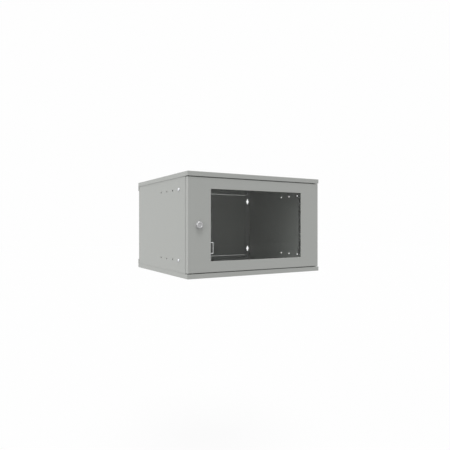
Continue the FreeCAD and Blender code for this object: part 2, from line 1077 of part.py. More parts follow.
def glass_clips():
    """Z-shaped clips that hold the glass's edge against the door."""
    body = new_body("glass_clip")
    over = "tape_thickness + glass_thickness"
    near, far = "clip_clearance", "clip_clearance + clip_foot"
    pad(
        body,
        "YZ",
        "-clip_width / 2",
        "clip_width / 2",
        polygon(
            ("0", near),
            ("0", far),
            ("clip_sheet", far),
            ("clip_sheet", f"{near} + clip_sheet"),
            (f"{over} + clip_sheet", f"{near} + clip_sheet"),
            (f"{over} + clip_sheet", "-clip_reach"),
            (over, "-clip_reach"),
            (over, near),
        ),
    )
    cut(body, "XZ", "0", "clip_sheet", circle("0", "clip_stud", "small_screw + hole_clearance"))
    return group(
        "glass_clips",
        body,
        [
            {"x": x, "y": "door_inner", "z": z, "axis": (0, 1, 0), "angle": turn}
            for x, z, turn in clip_places("0")
        ],
    )


def door_bumpers():
    """Rubber stops on the left side panel's front flange, where the closed door comes to rest."""
    body = new_body("bumper")
    pad(
        body,
        "XY",
        "0",
        "door_stop_gap - bumper_clearance",
        circle("0", "0", "bumper_diameter"),
    )
    return group(
        "door_bumpers",
        body,
        [
            {"x": "side_front_flange / 2 - side_outer", "y": "side_front", "z": z, **TO_FRONT}
            for z in ("middle + bumper_height", "middle - bumper_height")
        ],
    )


# hinge


def hinge_bracket_lower():
    """A Z-shaped bracket in the cap's front right corner that carries the hinge pin beside the door's edge."""
    body = new_body("hinge_bracket_lower")
    near = "front + cap_sheet + bracket_clearance"
    far = f"{near} + bracket_depth"
    inner = "half_width - cap_sheet - bracket_clearance - bracket_reach"
    pad(
        body,
        "XZ",
        near,
        far,
        polygon(
            (f"{inner} - bracket_foot", "cap_sheet"),
            (f"{inner} + bracket_sheet", "cap_sheet"),
            (f"{inner} + bracket_sheet", "cap_flange - bracket_sheet"),
            (f"{inner} + bracket_reach", "cap_flange - bracket_sheet"),
            (f"{inner} + bracket_reach", "cap_flange"),
            (inner, "cap_flange"),
            (inner, "cap_sheet + bracket_sheet"),
            (f"{inner} - bracket_foot", "cap_sheet + bracket_sheet"),
        ),
    )
    cut(
        body,
        "XY",
        "cap_flange - bracket_sheet",
        "cap_flange",
        circle("hinge_x", "hinge_y", "hinge_pin + 2 * pin_clearance"),
    )
    return finish(body, "hinge_bracket_lower")


def hinge_pin_lower():
    """The fixed pin, headed under the lower bracket."""
    body = new_body("hinge_pin_lower")
    low = "cap_flange - 2 * bracket_sheet"
    top = "door_low + bush_length - pin_end_gap"
    turned(
        body,
        [
            ("0", low),
            ("pin_head / 2", low),
            ("pin_head / 2", "cap_flange - bracket_sheet"),
            ("hinge_pin / 2", "cap_flange - bracket_sheet"),
            ("hinge_pin / 2", f"{top} - pin_chamfer"),
            ("hinge_pin / 2 - pin_chamfer", top),
            ("0", top),
        ],
    )
    place(body, "hinge_x", "hinge_y")
    return finish(body, "hinge_pin_lower")


def hinge_bush_lower():
    """A flanged bush in the door's lower edge."""
    body = new_body("hinge_bush_lower")
    bore = "hinge_pin / 2 + pin_clearance"
    low = "cap_flange + bush_gap"
    top = "door_low + bush_length"
    turned(
        body,
        [
            (bore, low),
            ("bush_flange / 2", low),
            ("bush_flange / 2", "door_low"),
            ("bush_diameter / 2", "door_low"),
            ("bush_diameter / 2", top),
            (bore, top),
        ],
    )
    place(body, "hinge_x", "hinge_y")
    return finish(body, "hinge_bush_lower")


def hinge_pin_upper():
    """The sprung pin: straight above, bent to a finger handle below."""
    body = new_body("hinge_pin_upper")
    top = "cabinet_height - cap_flange + pin_engagement"
    handle = "guide_top - guide_sheet - handle_drop"
    turned(
        body,
        [
            ("0", f"{handle} + handle_bend"),
            ("hinge_pin / 2", f"{handle} + handle_bend"),
            ("hinge_pin / 2", f"{top} - pin_chamfer"),
            ("hinge_pin / 2 - pin_chamfer", top),
            ("0", top),
        ],
    )
    path = sketch_on(body, "XZ", "0", [bent_path(handle)])
    profile = sketch_on(body, "XY", f"{handle} + handle_bend", [circle("0", "0", "hinge_pin")])
    pipe = body.newObject("PartDesign::AdditivePipe", "pipe")
    pipe.Profile = profile
    pipe.Spine = (path, ["Edge1", "Edge2"])
    DOCUMENT.recompute()
    place(body, "hinge_x", "hinge_y")
    return finish(body, "hinge_pin_upper")


def bent_path(handle):
    """A quarter bend and a straight run towards the middle of the door."""

    def draw(sketch):
        bend, length, low = number("handle_bend"), number("handle_length"), number(handle)
        centre = FreeCAD.Vector(-bend, low + bend, 0)
        ring = Part.Circle(centre, FreeCAD.Vector(0, 0, 1), bend)
        arc = sketch.addGeometry(Part.ArcOfCircle(ring, -math.pi / 2, 0))
        run = sketch.addGeometry(
            Part.LineSegment(FreeCAD.Vector(-bend, low, 0), FreeCAD.Vector(-length, low, 0))
        )
        hold(sketch, arc, 3, "-handle_bend", f"{handle} + handle_bend")
        hold(sketch, arc, 2, "0", f"{handle} + handle_bend")
        sketch.addConstraint(Sketcher.Constraint("Tangent", arc, 1, run, 1))
        hold(sketch, run, 2, "-handle_length", handle)

    return draw


def pin_collar():
    """The clip on the sprung pin that the spring pushes up."""
    body = new_body("pin_collar")
    pad(
        body,
        "XY",
        "spring_top",
        "collar_top",
        circle("0", "0", "pin_head"),
        circle("0", "0", "hinge_pin + 2 * pin_clearance"),
    )
    place(body, "hinge_x", "hinge_y")
    return finish(body, "pin_collar")


def pin_spring():
    """A coil spring: each half turn is one tilted arc, and the arcs meet in line."""
    wire = number("spring_wire")
    radius = number("(hinge_pin + spring_wire) / 2 + spring_gap")
    turns = int(number("spring_turns"))
    step = (number("spring_length") - wire) / turns / 2
    reach = (radius**2 + (step / 2) ** 2) ** 0.5
    arcs = []
    for half in range(2 * turns):
        side = 1 if half % 2 == 0 else -1
        height = half * step
        arcs.append(
            Part.Arc(
                FreeCAD.Vector(side * radius, 0, height),
                FreeCAD.Vector(0, side * reach, height + step / 2),
                FreeCAD.Vector(-side * radius, 0, height + step),
            ).toShape()
        )
    ring = Part.Wire([Part.makeCircle(wire / 2, FreeCAD.Vector(radius, 0, 0), FreeCAD.Vector(0, 1, 0))])
    coil = Part.Wire(arcs).makePipeShell([ring], True, False)
    spring = DOCUMENT.addObject("Part::Feature", "pin_spring")
    spring.Shape = coil
    place(spring, "hinge_x", "hinge_y", "guide_top + spring_wire / 2")
    return finish(spring, "pin_spring")


def pin_guide():
    """An angle welded in the door that guides the sprung pin and carries its spring."""
    body = new_body("pin_guide")
    inner = "door_edge - door_sheet"
    near, far = "door_inner + bush_gap", "hinge_y + hinge_inset"
    pad(
        body,
        "XY",
        "guide_top - guide_sheet",
        "guide_top",
        rectangle("hinge_x - hinge_pin", inner, near, far),
    )
    pad(
        body,
        "YZ",
        f"{inner} - guide_sheet",
        inner,
        rectangle(near, far, "guide_top - guide_leg", "guide_top"),
    )
    cut(
        body,
        "XY",
        "guide_top - guide_sheet",
        "guide_top",
        circle("hinge_x", "hinge_y", "hinge_pin + 2 * pin_clearance"),
    )
    return finish(body, "pin_guide")


# lock, modelled about its own axis and turned to face the front


def lock_housing():
    """The lock's fixed body: a tapered head with a rounded edge in front of the door and a round body behind."""
    body = new_body("lock_housing")
    rear = "door_front - cam_front + lock_body_margin"
    turned(
        body,
        [
            ("0", rear),
            ("lock_body / 2", rear),
            ("lock_body / 2", "0"),
            ("lock_base / 2", "0"),
            ("lock_face / 2", "lock_projection"),
            ("0", "lock_projection"),
        ],
    )
    rounded(body, "lock_rounding", {"z": "lock_projection"})
    cut(body, "XY", rear, "lock_projection", circle("0", "0", "lock_barrel + 2 * pin_clearance"))
    place(body, "lock_x", "door_front", "middle", **TO_FRONT)
    return finish(body, "lock_housing")


def lock_nut():
    body = new_body("lock_nut")
    pad(
        body,
        "XY",
        "-door_sheet - lock_nut_thickness",
        "-door_sheet",
        hexagon("0", "0", "lock_nut_width"),
        circle("0", "0", "lock_body + 2 * thread_clearance"),
    )
    place(body, "lock_x", "door_front", "middle", **TO_FRONT)
    return finish(body, "lock_nut")


def lock_barrel():
    """The turning barrel: a key slot in front and a square end that carries the cam."""
    body = new_body("lock_barrel")
    face = "lock_projection - lock_recess"
    seat = "door_front - cam_front"
    pad(body, "XY", seat, face, circle("0", "0", "lock_barrel"))
    pad(
        body,
        "XY",
        f"{seat} - cam_sheet",
        seat,
        rectangle("-cam_square / 2", "cam_square / 2", "-cam_square / 2", "cam_square / 2"),
    )
    cut(
        body,
        "XY",
        f"{face} - key_slot_depth",
        face,
        rectangle(
            "-key_slot_width / 2", "key_slot_width / 2", "-key_slot_length / 2", "key_slot_length / 2"
        ),
    )
    place(body, "lock_x", "door_front", "middle", **TO_FRONT)
    return finish(body, "lock_barrel")


def lock_cam():
    """The cam hangs down while the door is unlocked."""
    body = new_body("lock_cam")
    seat = "door_front - cam_front"
    pad(
        body,
        "XY",
        f"{seat} - cam_sheet",
        seat,
        slot("0", "cam_width / 2 - (cam_reach + cam_width / 2) / 2", "cam_reach + cam_width / 2", "cam_width"),
    )
    gap = "cam_square / 2 + pin_clearance"
    cut(body, "XY", f"{seat} - cam_sheet", seat, rectangle(f"-({gap})", gap, f"-({gap})", gap))
    place(body, "lock_x", "door_front", "middle", **TO_FRONT)
    return finish(body, "lock_cam")


def cam_screw():
    body = new_body("cam_screw")
    low = "door_front - cam_front - cam_sheet"
    pad(body, "XY", f"{low} - cam_screw_head_height", low, circle("0", "0", "cam_screw_head"))
    place(body, "lock_x", "door_front", "middle", **TO_FRONT)
    return finish(body, "cam_screw")


# fasteners, each modelled with its head above its own XY plane


def screw_master(name, shank, length, head, head_height):
    body = new_body(name)
    pad(body, "XY", "0", head_height, circle("0", "0", head))
    rounded(body, f"{head_height} * head_rounding", {"z": head_height})
    pad(body, "XY", f"-({length})", "0", circle("0", "0", shank))
    return body


def countersunk_master(name, shank, length, head_depth):
    """A screw whose conical head ends at its own XY plane."""
    body = new_body(name)
    turned(
        body,
        [
            ("0", f"-({length})"),
            (f"{shank} / 2", f"-({length})"),
            (f"{shank} / 2", f"-({head_depth})"),
            (f"{shank} / 2 + {head_depth}", "0"),
            ("0", "0"),
        ],
    )
    return body


def nut_master(name, bore, width, thickness):
    body = new_body(name)
    pad(body, "XY", "0", thickness, hexagon("0", "0", width), circle("0", "0", bore))
    return body


def rail_fasteners(nut):
    """Pan-head screws outside the side panels, with nuts behind the mounting rails."""
    screw = screw_master(
        "rail_screw",
        "screw",
        "side_sheet + rail_sheet + nut_thickness + screw_overrun",
        "screw_head",
        "screw_head_height",
    )
    spots = [
        (side, outward, inward, f"middle {way} row_height")
        for side, outward, inward in (("", TO_RIGHT, TO_LEFT), ("-", TO_LEFT, TO_RIGHT))
        for way in ("+", "-")
    ]
    setback = "front + row_setback"
    group(
        "rail_screws",
        screw,
        [{"x": f"{side}side_outer", "y": setback, "z": z, **out} for side, out, _, z in spots],
    )
    behind = "(side_inner - rail_sheet)"
    group(
        "rail_nuts",
        nut,
        [{"x": f"{side}{behind}", "y": setback, "z": z, **back} for side, _, back, z in spots],
    )


def cap_nuts(nut):
    """Nuts on the caps' welded studs, inside the cabinet."""
    sheets = ["side_sheet", "side_sheet", "cross_sheet"] * 2
    spots = []
    for (x, y), sheet in zip(stud_places(), sheets):
        spots.append({"x": x, "y": y, "z": f"cap_sheet + {sheet}"})
        spots.append({"x": x, "y": y, "z": f"cap_ceiling - {sheet}", **UPSIDE_DOWN})
    return group("cap_nuts", nut, spots)


def corner_screws():
    """Screws from inside, through the side panels' rear flanges into the caps' rear flanges."""
    screw = screw_master(
        "corner_screw",
        "screw",
        "side_sheet + cap_sheet",
        "corner_screw_head",
        "corner_screw_head_height",
    )
    return group(
        "corner_screws",
        screw,
        [
            {"x": f"{side}keyhole_x", "y": "side_rear - side_sheet", "z": z, **TO_FRONT}
            for side in ("", "-")
            for z in ("corner_screw_z", "cabinet_height - corner_screw_z")
        ],
    )


def back_panel_screws():
    """Countersunk screws from behind, flush with the back, into the side panels' rear flanges."""
    screw = countersunk_master(
        "back_screw", "small_screw", "cap_sheet + side_sheet + back_screw_tip", "back_countersink"
    )
    return group(
        "back_panel_screws",
        screw,
        [
            {"x": f"{side}keyhole_x", "y": "rear", "z": f"middle {way} back_screw_height", **TO_REAR}
            for side in ("", "-")
            for way in ("+", "-")
        ],
    )


def cross_fasteners(small_nut):
    """Screws and nuts that join the cross rails to the side panels' front flanges."""
    screw = screw_master(
        "cross_screw",
        "small_screw",
        "side_sheet + cross_sheet + small_nut_thickness + small_screw_overrun",
        "small_screw_head",
        "small_screw_head_height",
    )
    spots = [
        {"x": f"{side}cross_screw_x", "z": z}
        for side in ("", "-")
        for z in ("cross_screw_height", "cabinet_height - cross_screw_height")
    ]
    group("front_rail_screws", screw, [{**spot, "y": "side_front", **TO_FRONT} for spot in spots])
    behind = "cross_front + cross_sheet"
    group("front_rail_nuts", small_nut, [{**spot, "y": behind, **TO_REAR} for spot in spots])


def cover_screws():
    screw = screw_master(
        "cover_screw",
        "small_screw - thread_clearance",
        "cover_sheet + cap_sheet",
        "small_screw_head",
        "small_screw_head_height",
    )
    spots = []
    for x, y in cover_screw_places():
        spots.append({"x": x, "y": y, "z": "cap_sheet + cover_sheet"})
        spots.append({"x": x, "y": y, "z": "cap_ceiling - cover_sheet", **UPSIDE_DOWN})
    return group("cable_cover_screws", screw, spots)


def glass_clip_nuts(small_nut):
    return group(
        "glass_clip_nuts",
        small_nut,
        [
            {"x": x, "y": "door_inner + clip_sheet", "z": z, **TO_REAR}
            for x, z, _ in clip_places("clip_stud")
        ],
    )


def earth_fasteners(nut):
    """The earthing stud on the bottom cap's floor, with its nut."""
    x, y = "earth_stud_inset - half_width", "rear - earth_stud_setback"
    body = new_body("earth_stud")
    pad(body, "XY", "0", "earth_stud_base", circle("0", "0", "earth_stud_flange"))
    pad(body, "XY", "earth_stud_base", "earth_stud_length", circle("0", "0", "stud"))
    place(body, x, y, "cap_sheet")
    finish(body, "earth_stud")
    group("earth_nut", nut, [{"x": x, "y": y, "z": "cap_sheet + earth_stud_base"}])


def check_all():
    """Stops if any object of the document failed or any sub-part has no sound shape."""
    for item in DOCUMENT.Objects:
        if "Invalid" in item.State or "Error" in item.State:
            raise RuntimeError(f"{item.Name} failed: {item.State}")
    for item in FINISHED:
        if item.Shape.isNull() or not item.Shape.isValid():
            raise RuntimeError(f"{item.Label} has no sound shape")


def write_all():
    os.makedirs("parts", exist_ok=True)
    for item in FINISHED:
        item.Shape.exportStep(f"parts/{item.Label}.step")


def build_cabinet():
    """Makes every sub-part, in the order in which the cabinet is put together."""
    nut = nut_master("nut", "screw + 2 * thread_clearance", "nut_width", "nut_thickness")
    small_nut = nut_master(
        "small_nut", "small_screw + 2 * thread_clearance", "small_nut_width", "small_nut_thickness"
    )
    mirrored("top_cap", bottom_cap(), "Z", "middle")
    mirrored("cable_cover_top", cable_cover(), "Z", "middle")
    cover_screws()
    mirrored("side_panel_left", side_panel_right(), "X")
    cap_nuts(nut)
    corner_screws()
    back_panel()
    back_panel_screws()
    mirrored("front_rail_upper", front_rail_lower(), "Z", "middle")
    cross_fasteners(small_nut)
    mirrored("mounting_rail_left", mounting_rail_right(), "X")
    rail_fasteners(nut)
    earth_fasteners(nut)
    door_bumpers()
    mirrored("hinge_bracket_upper", hinge_bracket_lower(), "Z", "middle")
    hinge_pin_lower()
    door_panel()
    door_glass()
    glass_tape()
    glass_clips()
    glass_clip_nuts(small_nut)
    mirrored("hinge_bush_upper", hinge_bush_lower(), "Z", "middle")
    pin_guide()
    hinge_pin_upper()
    pin_collar()
    pin_spring()
    lock_housing()
    lock_nut()
    lock_barrel()
    lock_cam()
    cam_screw()


build_cabinet()
DOCUMENT.recompute()
check_all()
write_all()
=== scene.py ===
import json
import math
from functools import cached_property

import bpy
from bpy.props import FloatProperty, FloatVectorProperty, IntProperty, PointerProperty
from mathutils import Matrix, Vector

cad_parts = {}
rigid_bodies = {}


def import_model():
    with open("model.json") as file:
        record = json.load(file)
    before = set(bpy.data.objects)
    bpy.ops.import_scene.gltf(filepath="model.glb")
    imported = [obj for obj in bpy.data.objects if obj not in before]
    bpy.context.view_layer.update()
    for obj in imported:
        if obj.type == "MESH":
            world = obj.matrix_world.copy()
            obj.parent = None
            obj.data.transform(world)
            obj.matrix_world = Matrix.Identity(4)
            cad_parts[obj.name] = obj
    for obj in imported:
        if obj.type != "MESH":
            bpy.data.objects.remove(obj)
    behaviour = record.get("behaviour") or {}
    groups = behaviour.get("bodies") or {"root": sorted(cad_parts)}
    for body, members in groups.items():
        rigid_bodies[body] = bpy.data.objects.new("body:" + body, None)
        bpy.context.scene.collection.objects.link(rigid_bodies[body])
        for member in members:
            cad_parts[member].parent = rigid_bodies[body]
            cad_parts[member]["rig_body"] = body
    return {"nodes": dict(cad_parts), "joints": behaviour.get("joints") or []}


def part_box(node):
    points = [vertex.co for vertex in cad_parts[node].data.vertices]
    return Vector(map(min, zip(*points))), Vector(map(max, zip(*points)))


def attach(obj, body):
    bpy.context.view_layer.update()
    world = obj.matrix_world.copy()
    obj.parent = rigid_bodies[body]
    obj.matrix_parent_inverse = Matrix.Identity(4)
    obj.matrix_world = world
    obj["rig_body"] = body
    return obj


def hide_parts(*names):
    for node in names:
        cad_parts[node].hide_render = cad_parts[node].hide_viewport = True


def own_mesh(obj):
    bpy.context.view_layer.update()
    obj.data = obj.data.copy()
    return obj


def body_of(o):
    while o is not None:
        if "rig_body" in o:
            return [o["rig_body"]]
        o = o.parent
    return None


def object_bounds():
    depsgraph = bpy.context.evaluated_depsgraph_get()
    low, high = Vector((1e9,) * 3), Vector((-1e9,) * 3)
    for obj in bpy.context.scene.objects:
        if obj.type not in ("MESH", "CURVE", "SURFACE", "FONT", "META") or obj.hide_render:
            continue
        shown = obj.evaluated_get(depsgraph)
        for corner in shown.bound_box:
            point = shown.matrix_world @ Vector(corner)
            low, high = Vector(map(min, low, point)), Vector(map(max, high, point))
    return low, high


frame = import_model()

bl_info = {
    "name": "Wall cabinet",
    "version": (1, 0, 0),
    "blender": (4, 5, 0),
    "location": "3D Viewport > Sidebar > Cabinet",
    "description": "Finishes, fasteners and studio for a wall-mounted network cabinet",
    "category": "Object",
}

CAD_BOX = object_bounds()
CAD_MIDDLE = (CAD_BOX[0] + CAD_BOX[1]) / 2
NODES = frame["nodes"]
MM = 0.001
WHITE = (1, 1, 1, 1)
FLOOR_WIDTH = 40  # in metres

PAINTED = (
    "top_cap",
    "bottom_cap",
    "side_panel_left",
    "side_panel_right",
    "back_panel",
    "door_panel",
    "front_rail_lower",
    "front_rail_upper",
    "cable_cover_bottom",
    "cable_cover_top",
)
PLATED = (
    "mounting_rail_left",
    "mounting_rail_right",
    "glass_clips",
    "hinge_bracket_lower",
    "hinge_bracket_upper",
    "pin_guide",
    "lock_cam",
)
FASTENERS = (
    "rail_screws",
    "rail_nuts",
    "cap_nuts",
    "corner_screws",
    "back_panel_screws",
    "front_rail_screws",
    "front_rail_nuts",
    "cable_cover_screws",
    "glass_clip_nuts",
    "earth_stud",
    "earth_nut",
    "cam_screw",
)
PINS = ("hinge_pin_lower", "hinge_pin_upper", "pin_collar", "pin_spring")
LOCK = ("lock_housing", "lock_barrel", "lock_nut")


# shader maths

# places of the Mix node's colour sockets, which share their names with its number sockets
COLOUR_A, COLOUR_B, MIXED_COLOUR = 6, 7, 2


class Value:
    """An output socket of a material, so that shader maths reads as plain expressions."""

    def __init__(self, finish, socket):
        self.finish = finish
        self.socket = socket

    def combined(self, operation, first, second):
        """Adds the Math node that stands for an operator."""
        step = self.finish.node("ShaderNodeMath", {"operation": operation}, {0: first, 1: second})
        return step["Value"]

    def __add__(self, other):
        return self.combined("ADD", self, other)

    def __sub__(self, other):
        return self.combined("SUBTRACT", self, other)

    def __rsub__(self, other):
        return self.combined("SUBTRACT", other, self)

    def __mul__(self, other):
        return self.combined("MULTIPLY", self, other)

    __radd__ = __add__
    __rmul__ = __mul__


class Outputs:
    """A node's outputs, found by name."""

    def __init__(self, finish, node):
        self.finish = finish
        self.node = node

    def __getitem__(self, name):
        return Value(self.finish, self.node.outputs[name])


class Finish:
    """A material's or world's nodes, added one expression at a time."""

    def __init__(self, owner):
        self.owner = owner
        owner.use_nodes = True
        self.tree = owner.node_tree
        self.tree.nodes.clear()

    @cached_property
    def place(self):
        """Where a point lies on the object, in metres."""
        return self.node("ShaderNodeTexCoord")["Object"]

    def node(self, kind, settings=None, inputs=None):
        """Adds a node: its settings first, then the values or links of its sockets."""
        node = self.tree.nodes.new(kind)
        for name, setting in (settings or {}).items():
            setattr(node, name, setting)
        for name, value in (inputs or {}).items():
            if isinstance(value, Value):
                self.tree.links.new(value.socket, node.inputs[name])
            else:
                node.inputs[name].default_value = value
        return Outputs(self, node)

    def noise(self, size, detail=2.0, stretch=(1, 1, 1)):
        """Cloudy noise from 0 to 1, in lumps of about this size in metres; a low stretch draws them out."""
        drawn_out = {"Vector": self.place, "Scale": stretch}
        point = self.node("ShaderNodeMapping", {"vector_type": "POINT"}, drawn_out)["Vector"]
        lumps = {"Vector": point, "Scale": 1 / size, "Detail": detail}
        return self.node("ShaderNodeTexNoise", {}, lumps)["Fac"]

    def cells(self, size):
        """A flat random value from 0 to 1 for each crystal-like cell of this size."""
        cells = self.node("ShaderNodeTexVoronoi", {}, {"Vector": self.place, "Scale": 1 / size})
        parts = self.node("ShaderNodeSeparateColor", {}, {"Color": cells["Color"]})
        return parts["Red"]

    def blend(self, factor, first, second):
        """A colour between two, by a factor from 0 to 1."""
        colours = {"Factor": factor, COLOUR_A: first, COLOUR_B: second}
        mix = self.node("ShaderNodeMix", {"data_type": "RGBA"}, colours)
        return Value(self, mix.node.outputs[MIXED_COLOUR])

    def tinted(self, factor, colour, darkest, lightest):
        """A colour that runs between two levels of itself, by a factor from 0 to 1."""
        return self.blend(factor, shade(colour, darkest), shade(colour, lightest))

    def bump(self, height, depth):
        """A normal that follows a height from 0 to 1, this deep in metres."""
        bump = self.node("ShaderNodeBump", {}, {"Height": height, "Distance": depth})
        return bump["Normal"]

    def principled(self, **inputs):
        """The main shader; a socket's name has an underscore for each space."""
        named = {name.replace("_", " "): value for name, value in inputs.items()}
        return self.node("ShaderNodeBsdfPrincipled", {}, named)["BSDF"]

    def matt(self, grey):
        """A plain grey surface without gloss."""
        return self.node("ShaderNodeBsdfDiffuse", {}, {"Color": shade(WHITE, grey)})["BSDF"]

    def mixed(self, factor, first, second):
        """A shader between two, by a factor from 0 to 1."""
        shaders = {0: factor, 1: first, 2: second}
        return self.node("ShaderNodeMixShader", {}, shaders)["Shader"]

    def done(self, shader):
        """Ends the material with its shader."""
        self.node("ShaderNodeOutputMaterial", {}, {"Surface": shader})
        return self.owner


def new_finish(name):
    """The empty nodes of a new material."""
    return Finish(bpy.data.materials.new(name))


def shade(colour, level):
    """A colour times a level, as a shader's four numbers."""
    return (*(min(1.0, channel * level) for channel in colour[:3]), 1.0)


def dress(material, *nodes):
    """Gives CAD nodes a finish."""
    for name in nodes:
        NODES[name].data.materials.clear()
        NODES[name].data.materials.append(material)


def stand_for(node, piece):
    """Lets a piece stand for a CAD node, on the same body and in the same finish."""
    piece.data.materials.clear()
    piece.data.materials.append(NODES[node].data.materials[0])
    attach(piece, body_of(NODES[node])[0])
    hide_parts(node)


# modelling

# proportions of threads, heads and nuts
RIDGE_HEIGHT = 0.4  # of the pitch
TIP_CHAMFER = 1.5  # of the ridge's height
DOME_ROUNDING = 0.7  # of a pan head's height
DOME_CROSS = (0.52, 0.6)  # width of the recess, of a pan head's width, and depth, of its height
FLUSH_CROSS = (0.55, 1.2)  # the same for a flush head
CROSS_WING = 0.2  # width of one wing of the recess, of its length
CROSS_FOOT = (0.45, 0.75, 1)  # how the recess narrows to its floor
EDGE_ROUNDING = 0.3  # of a flange's or collar's thickness
NUT_CORNER = 0.09  # how far a nut's corners are turned down, of its width
NUT_CORNER_SLOPE = math.radians(30)
SCREW_TURN = 0.7  # angle between the recesses of one screw and the next
STRAIGHT = 0.99  # least share of a normal along the axis that it is said to follow
SAME_PLACE = 1e-6  # points nearer than this are one
PLACES = 5  # decimal places of a metre to which sizes are compared


def close_editing():
    """Leaves edit mode, where a new object couldn't be placed."""
    if bpy.context.mode != "OBJECT":
        bpy.ops.object.mode_set(mode="OBJECT")


def alone(*items):
    """Selects these objects and nothing else, outside edit mode."""
    close_editing()
    bpy.ops.object.select_all(action="DESELECT")
    for item in items:
        item.select_set(True)
    bpy.context.view_layer.objects.active = items[0]


def pick(item, wanted):
    """Opens an object for editing, with the faces selected that a test of centre and normal wants."""
    alone(item)
    bpy.ops.object.mode_set(mode="EDIT")
    bpy.ops.mesh.select_mode(type="FACE")
    bpy.ops.mesh.select_all(action="DESELECT")
    bpy.ops.object.mode_set(mode="OBJECT")
    for face in item.data.polygons:
        face.select = wanted(face.center, face.normal)
    bpy.ops.object.mode_set(mode="EDIT")


def top_end(item):
    """Picks the faces that look up."""
    pick(item, lambda centre, normal: normal.z > STRAIGHT)


def lower_end(item):
    """Picks the lowest face that looks down."""
    close_editing()
    low = min(vertex.co.z for vertex in item.data.vertices)
    pick(item, lambda centre, normal: normal.z < -STRAIGHT and centre.z - low < SAME_PLACE)


def turned(profile, sides=64):
    """A round body about Z, drawn up through heights and radii; its first step is straight."""
    close_editing()
    (low, radius), (high, _) = profile[:2]
    middle = (0, 0, (low + high) / 2)
    bpy.ops.mesh.primitive_cylinder_add(vertices=sides, radius=radius, depth=high - low, location=middle)
    bpy.ops.object.transform_apply(location=True)
    body = bpy.context.object
    top_end(body)
    for height, wanted in profile[2:]:
        drawn(height - high, wanted / radius)
        high, radius = height, wanted
    close_editing()
    return body


def rounding(top, radius, edge, steps=8):
    """Heights and radii of an edge that is rounded over, up to a flat end."""
    turns = [math.pi / 2 * step / steps for step in range(steps + 1)]
    return [(top - edge * (1 - math.sin(turn)), radius - edge * (1 - math.cos(turn))) for turn in turns]


def drawn(length, factor=1.0):
    """Draws the picked end out along Z, wider or narrower by a factor."""
    bpy.ops.mesh.extrude_region_move(TRANSFORM_OT_translate={"value": (0, 0, length)})
    if factor != 1.0:
        bpy.ops.transform.resize(value=(factor, factor, 1))


def flared(cutter, length, factor):
    """Draws both ends of a cutter out, past the faces that it cuts, wider or narrower by a factor."""
    for end, way in ((top_end, 1), (lower_end, -1)):
        end(cutter)
        drawn(way * length, factor)
    close_editing()


def threaded(size, length):
    """Draws the picked end downwards as a thread of narrow ridges with a chamfered tip."""
    turns = max(2, round(length / size.pitch))
    step = length / turns / 2
    ridge = size.pitch * RIDGE_HEIGHT / (size.diameter / 2)
    for _ in range(turns - 1):
        drawn(-step, 1 - ridge)
        drawn(-step, 1 / (1 - ridge))
    drawn(-step)
    drawn(-step, 1 - TIP_CHAMFER * ridge)
    close_editing()


def carved(item, cutter, operation="DIFFERENCE"):
    """Cuts one object with another, or with INTERSECT keeps what they share."""
    alone(item)
    step = item.modifiers.new("carved", "BOOLEAN")
    step.operation = operation
    step.solver = "EXACT"
    step.object = cutter
    bpy.ops.object.modifier_apply(modifier=step.name)


def cross_recess(item, width, depth):
    """Sinks a cross for a screwdriver into the top of a screw head at the origin."""
    bpy.ops.mesh.primitive_cube_add(size=1, scale=(width, width * CROSS_WING, 2 * depth))
    wing = bpy.context.object
    lower_end(wing)
    bpy.ops.transform.resize(value=CROSS_FOOT)
    close_editing()
    for turn in (0, 90):
        wing.rotation_euler.z = math.radians(turn)
        carved(item, wing)
    bpy.data.objects.remove(wing)


def smoothed(item, angle=38):
    """Shades an object smooth, but for edges sharper than an angle in degrees."""
    alone(item)
    bpy.ops.object.shade_smooth_by_angle(angle=math.radians(angle))
    return item


class Thread:
    """A thread's diameter and pitch, the room round it, and the width of its nuts."""

    def __init__(self, diameter, pitch, clearance, nut):
        self.diameter = diameter
        self.pitch = pitch
        self.clearance = clearance
        self.nut = nut


def threads(sizes):
    """The large and the small thread."""
    return (
        Thread(sizes.large_thread, sizes.large_pitch, sizes.clearance, sizes.large_nut),
        Thread(sizes.small_thread, sizes.small_pitch, sizes.clearance, sizes.small_nut),
    )


def pan_head_screw(size, head, height, length):
    """A domed head with a cross recess on a threaded shank; the top of the head is at the origin."""
    bpy.ops.mesh.primitive_cylinder_add(
        vertices=48, radius=head / 2, depth=height, location=(0, 0, -height / 2)
    )
    bpy.ops.object.transform_apply(location=True)
    screw = bpy.context.object
    top_end(screw)
    bpy.ops.mesh.bevel(offset=height * DOME_ROUNDING, segments=8, affect="EDGES")
    lower_end(screw)
    bpy.ops.mesh.inset(thickness=(head - size.diameter) / 2, depth=0)
    if length > height:
        threaded(size, length - height)
    close_editing()
    width, depth = DOME_CROSS
    cross_recess(screw, head * width, height * depth)
    return smoothed(screw)


def countersunk_screw(size, depth, length):
    """A flush conical head with a cross recess on a threaded shank."""
    shank, head = size.diameter / 2, size.diameter / 2 + depth
    bpy.ops.mesh.primitive_cone_add(
        vertices=48, radius1=shank, radius2=head, depth=depth, location=(0, 0, -depth / 2)
    )
    bpy.ops.object.transform_apply(location=True)
    screw = bpy.context.object
    lower_end(screw)
    threaded(size, length - depth)
    cross_width, cross_depth = FLUSH_CROSS
    cross_recess(screw, 2 * head * cross_width, depth * cross_depth)
    return smoothed(screw)


def flanged_stud(size, flange, thickness, length):
    """A welded stud: its flange ends at the origin, and its thread goes down from there."""
    radius, edge = flange / 2, EDGE_ROUNDING * thickness
    stud = turned([(-thickness, radius), (-edge, radius), (0, radius - edge)])
    lower_end(stud)
    bpy.ops.mesh.inset(thickness=(flange - size.diameter) / 2, depth=0)
    threaded(size, length - thickness)
    return smoothed(stud)


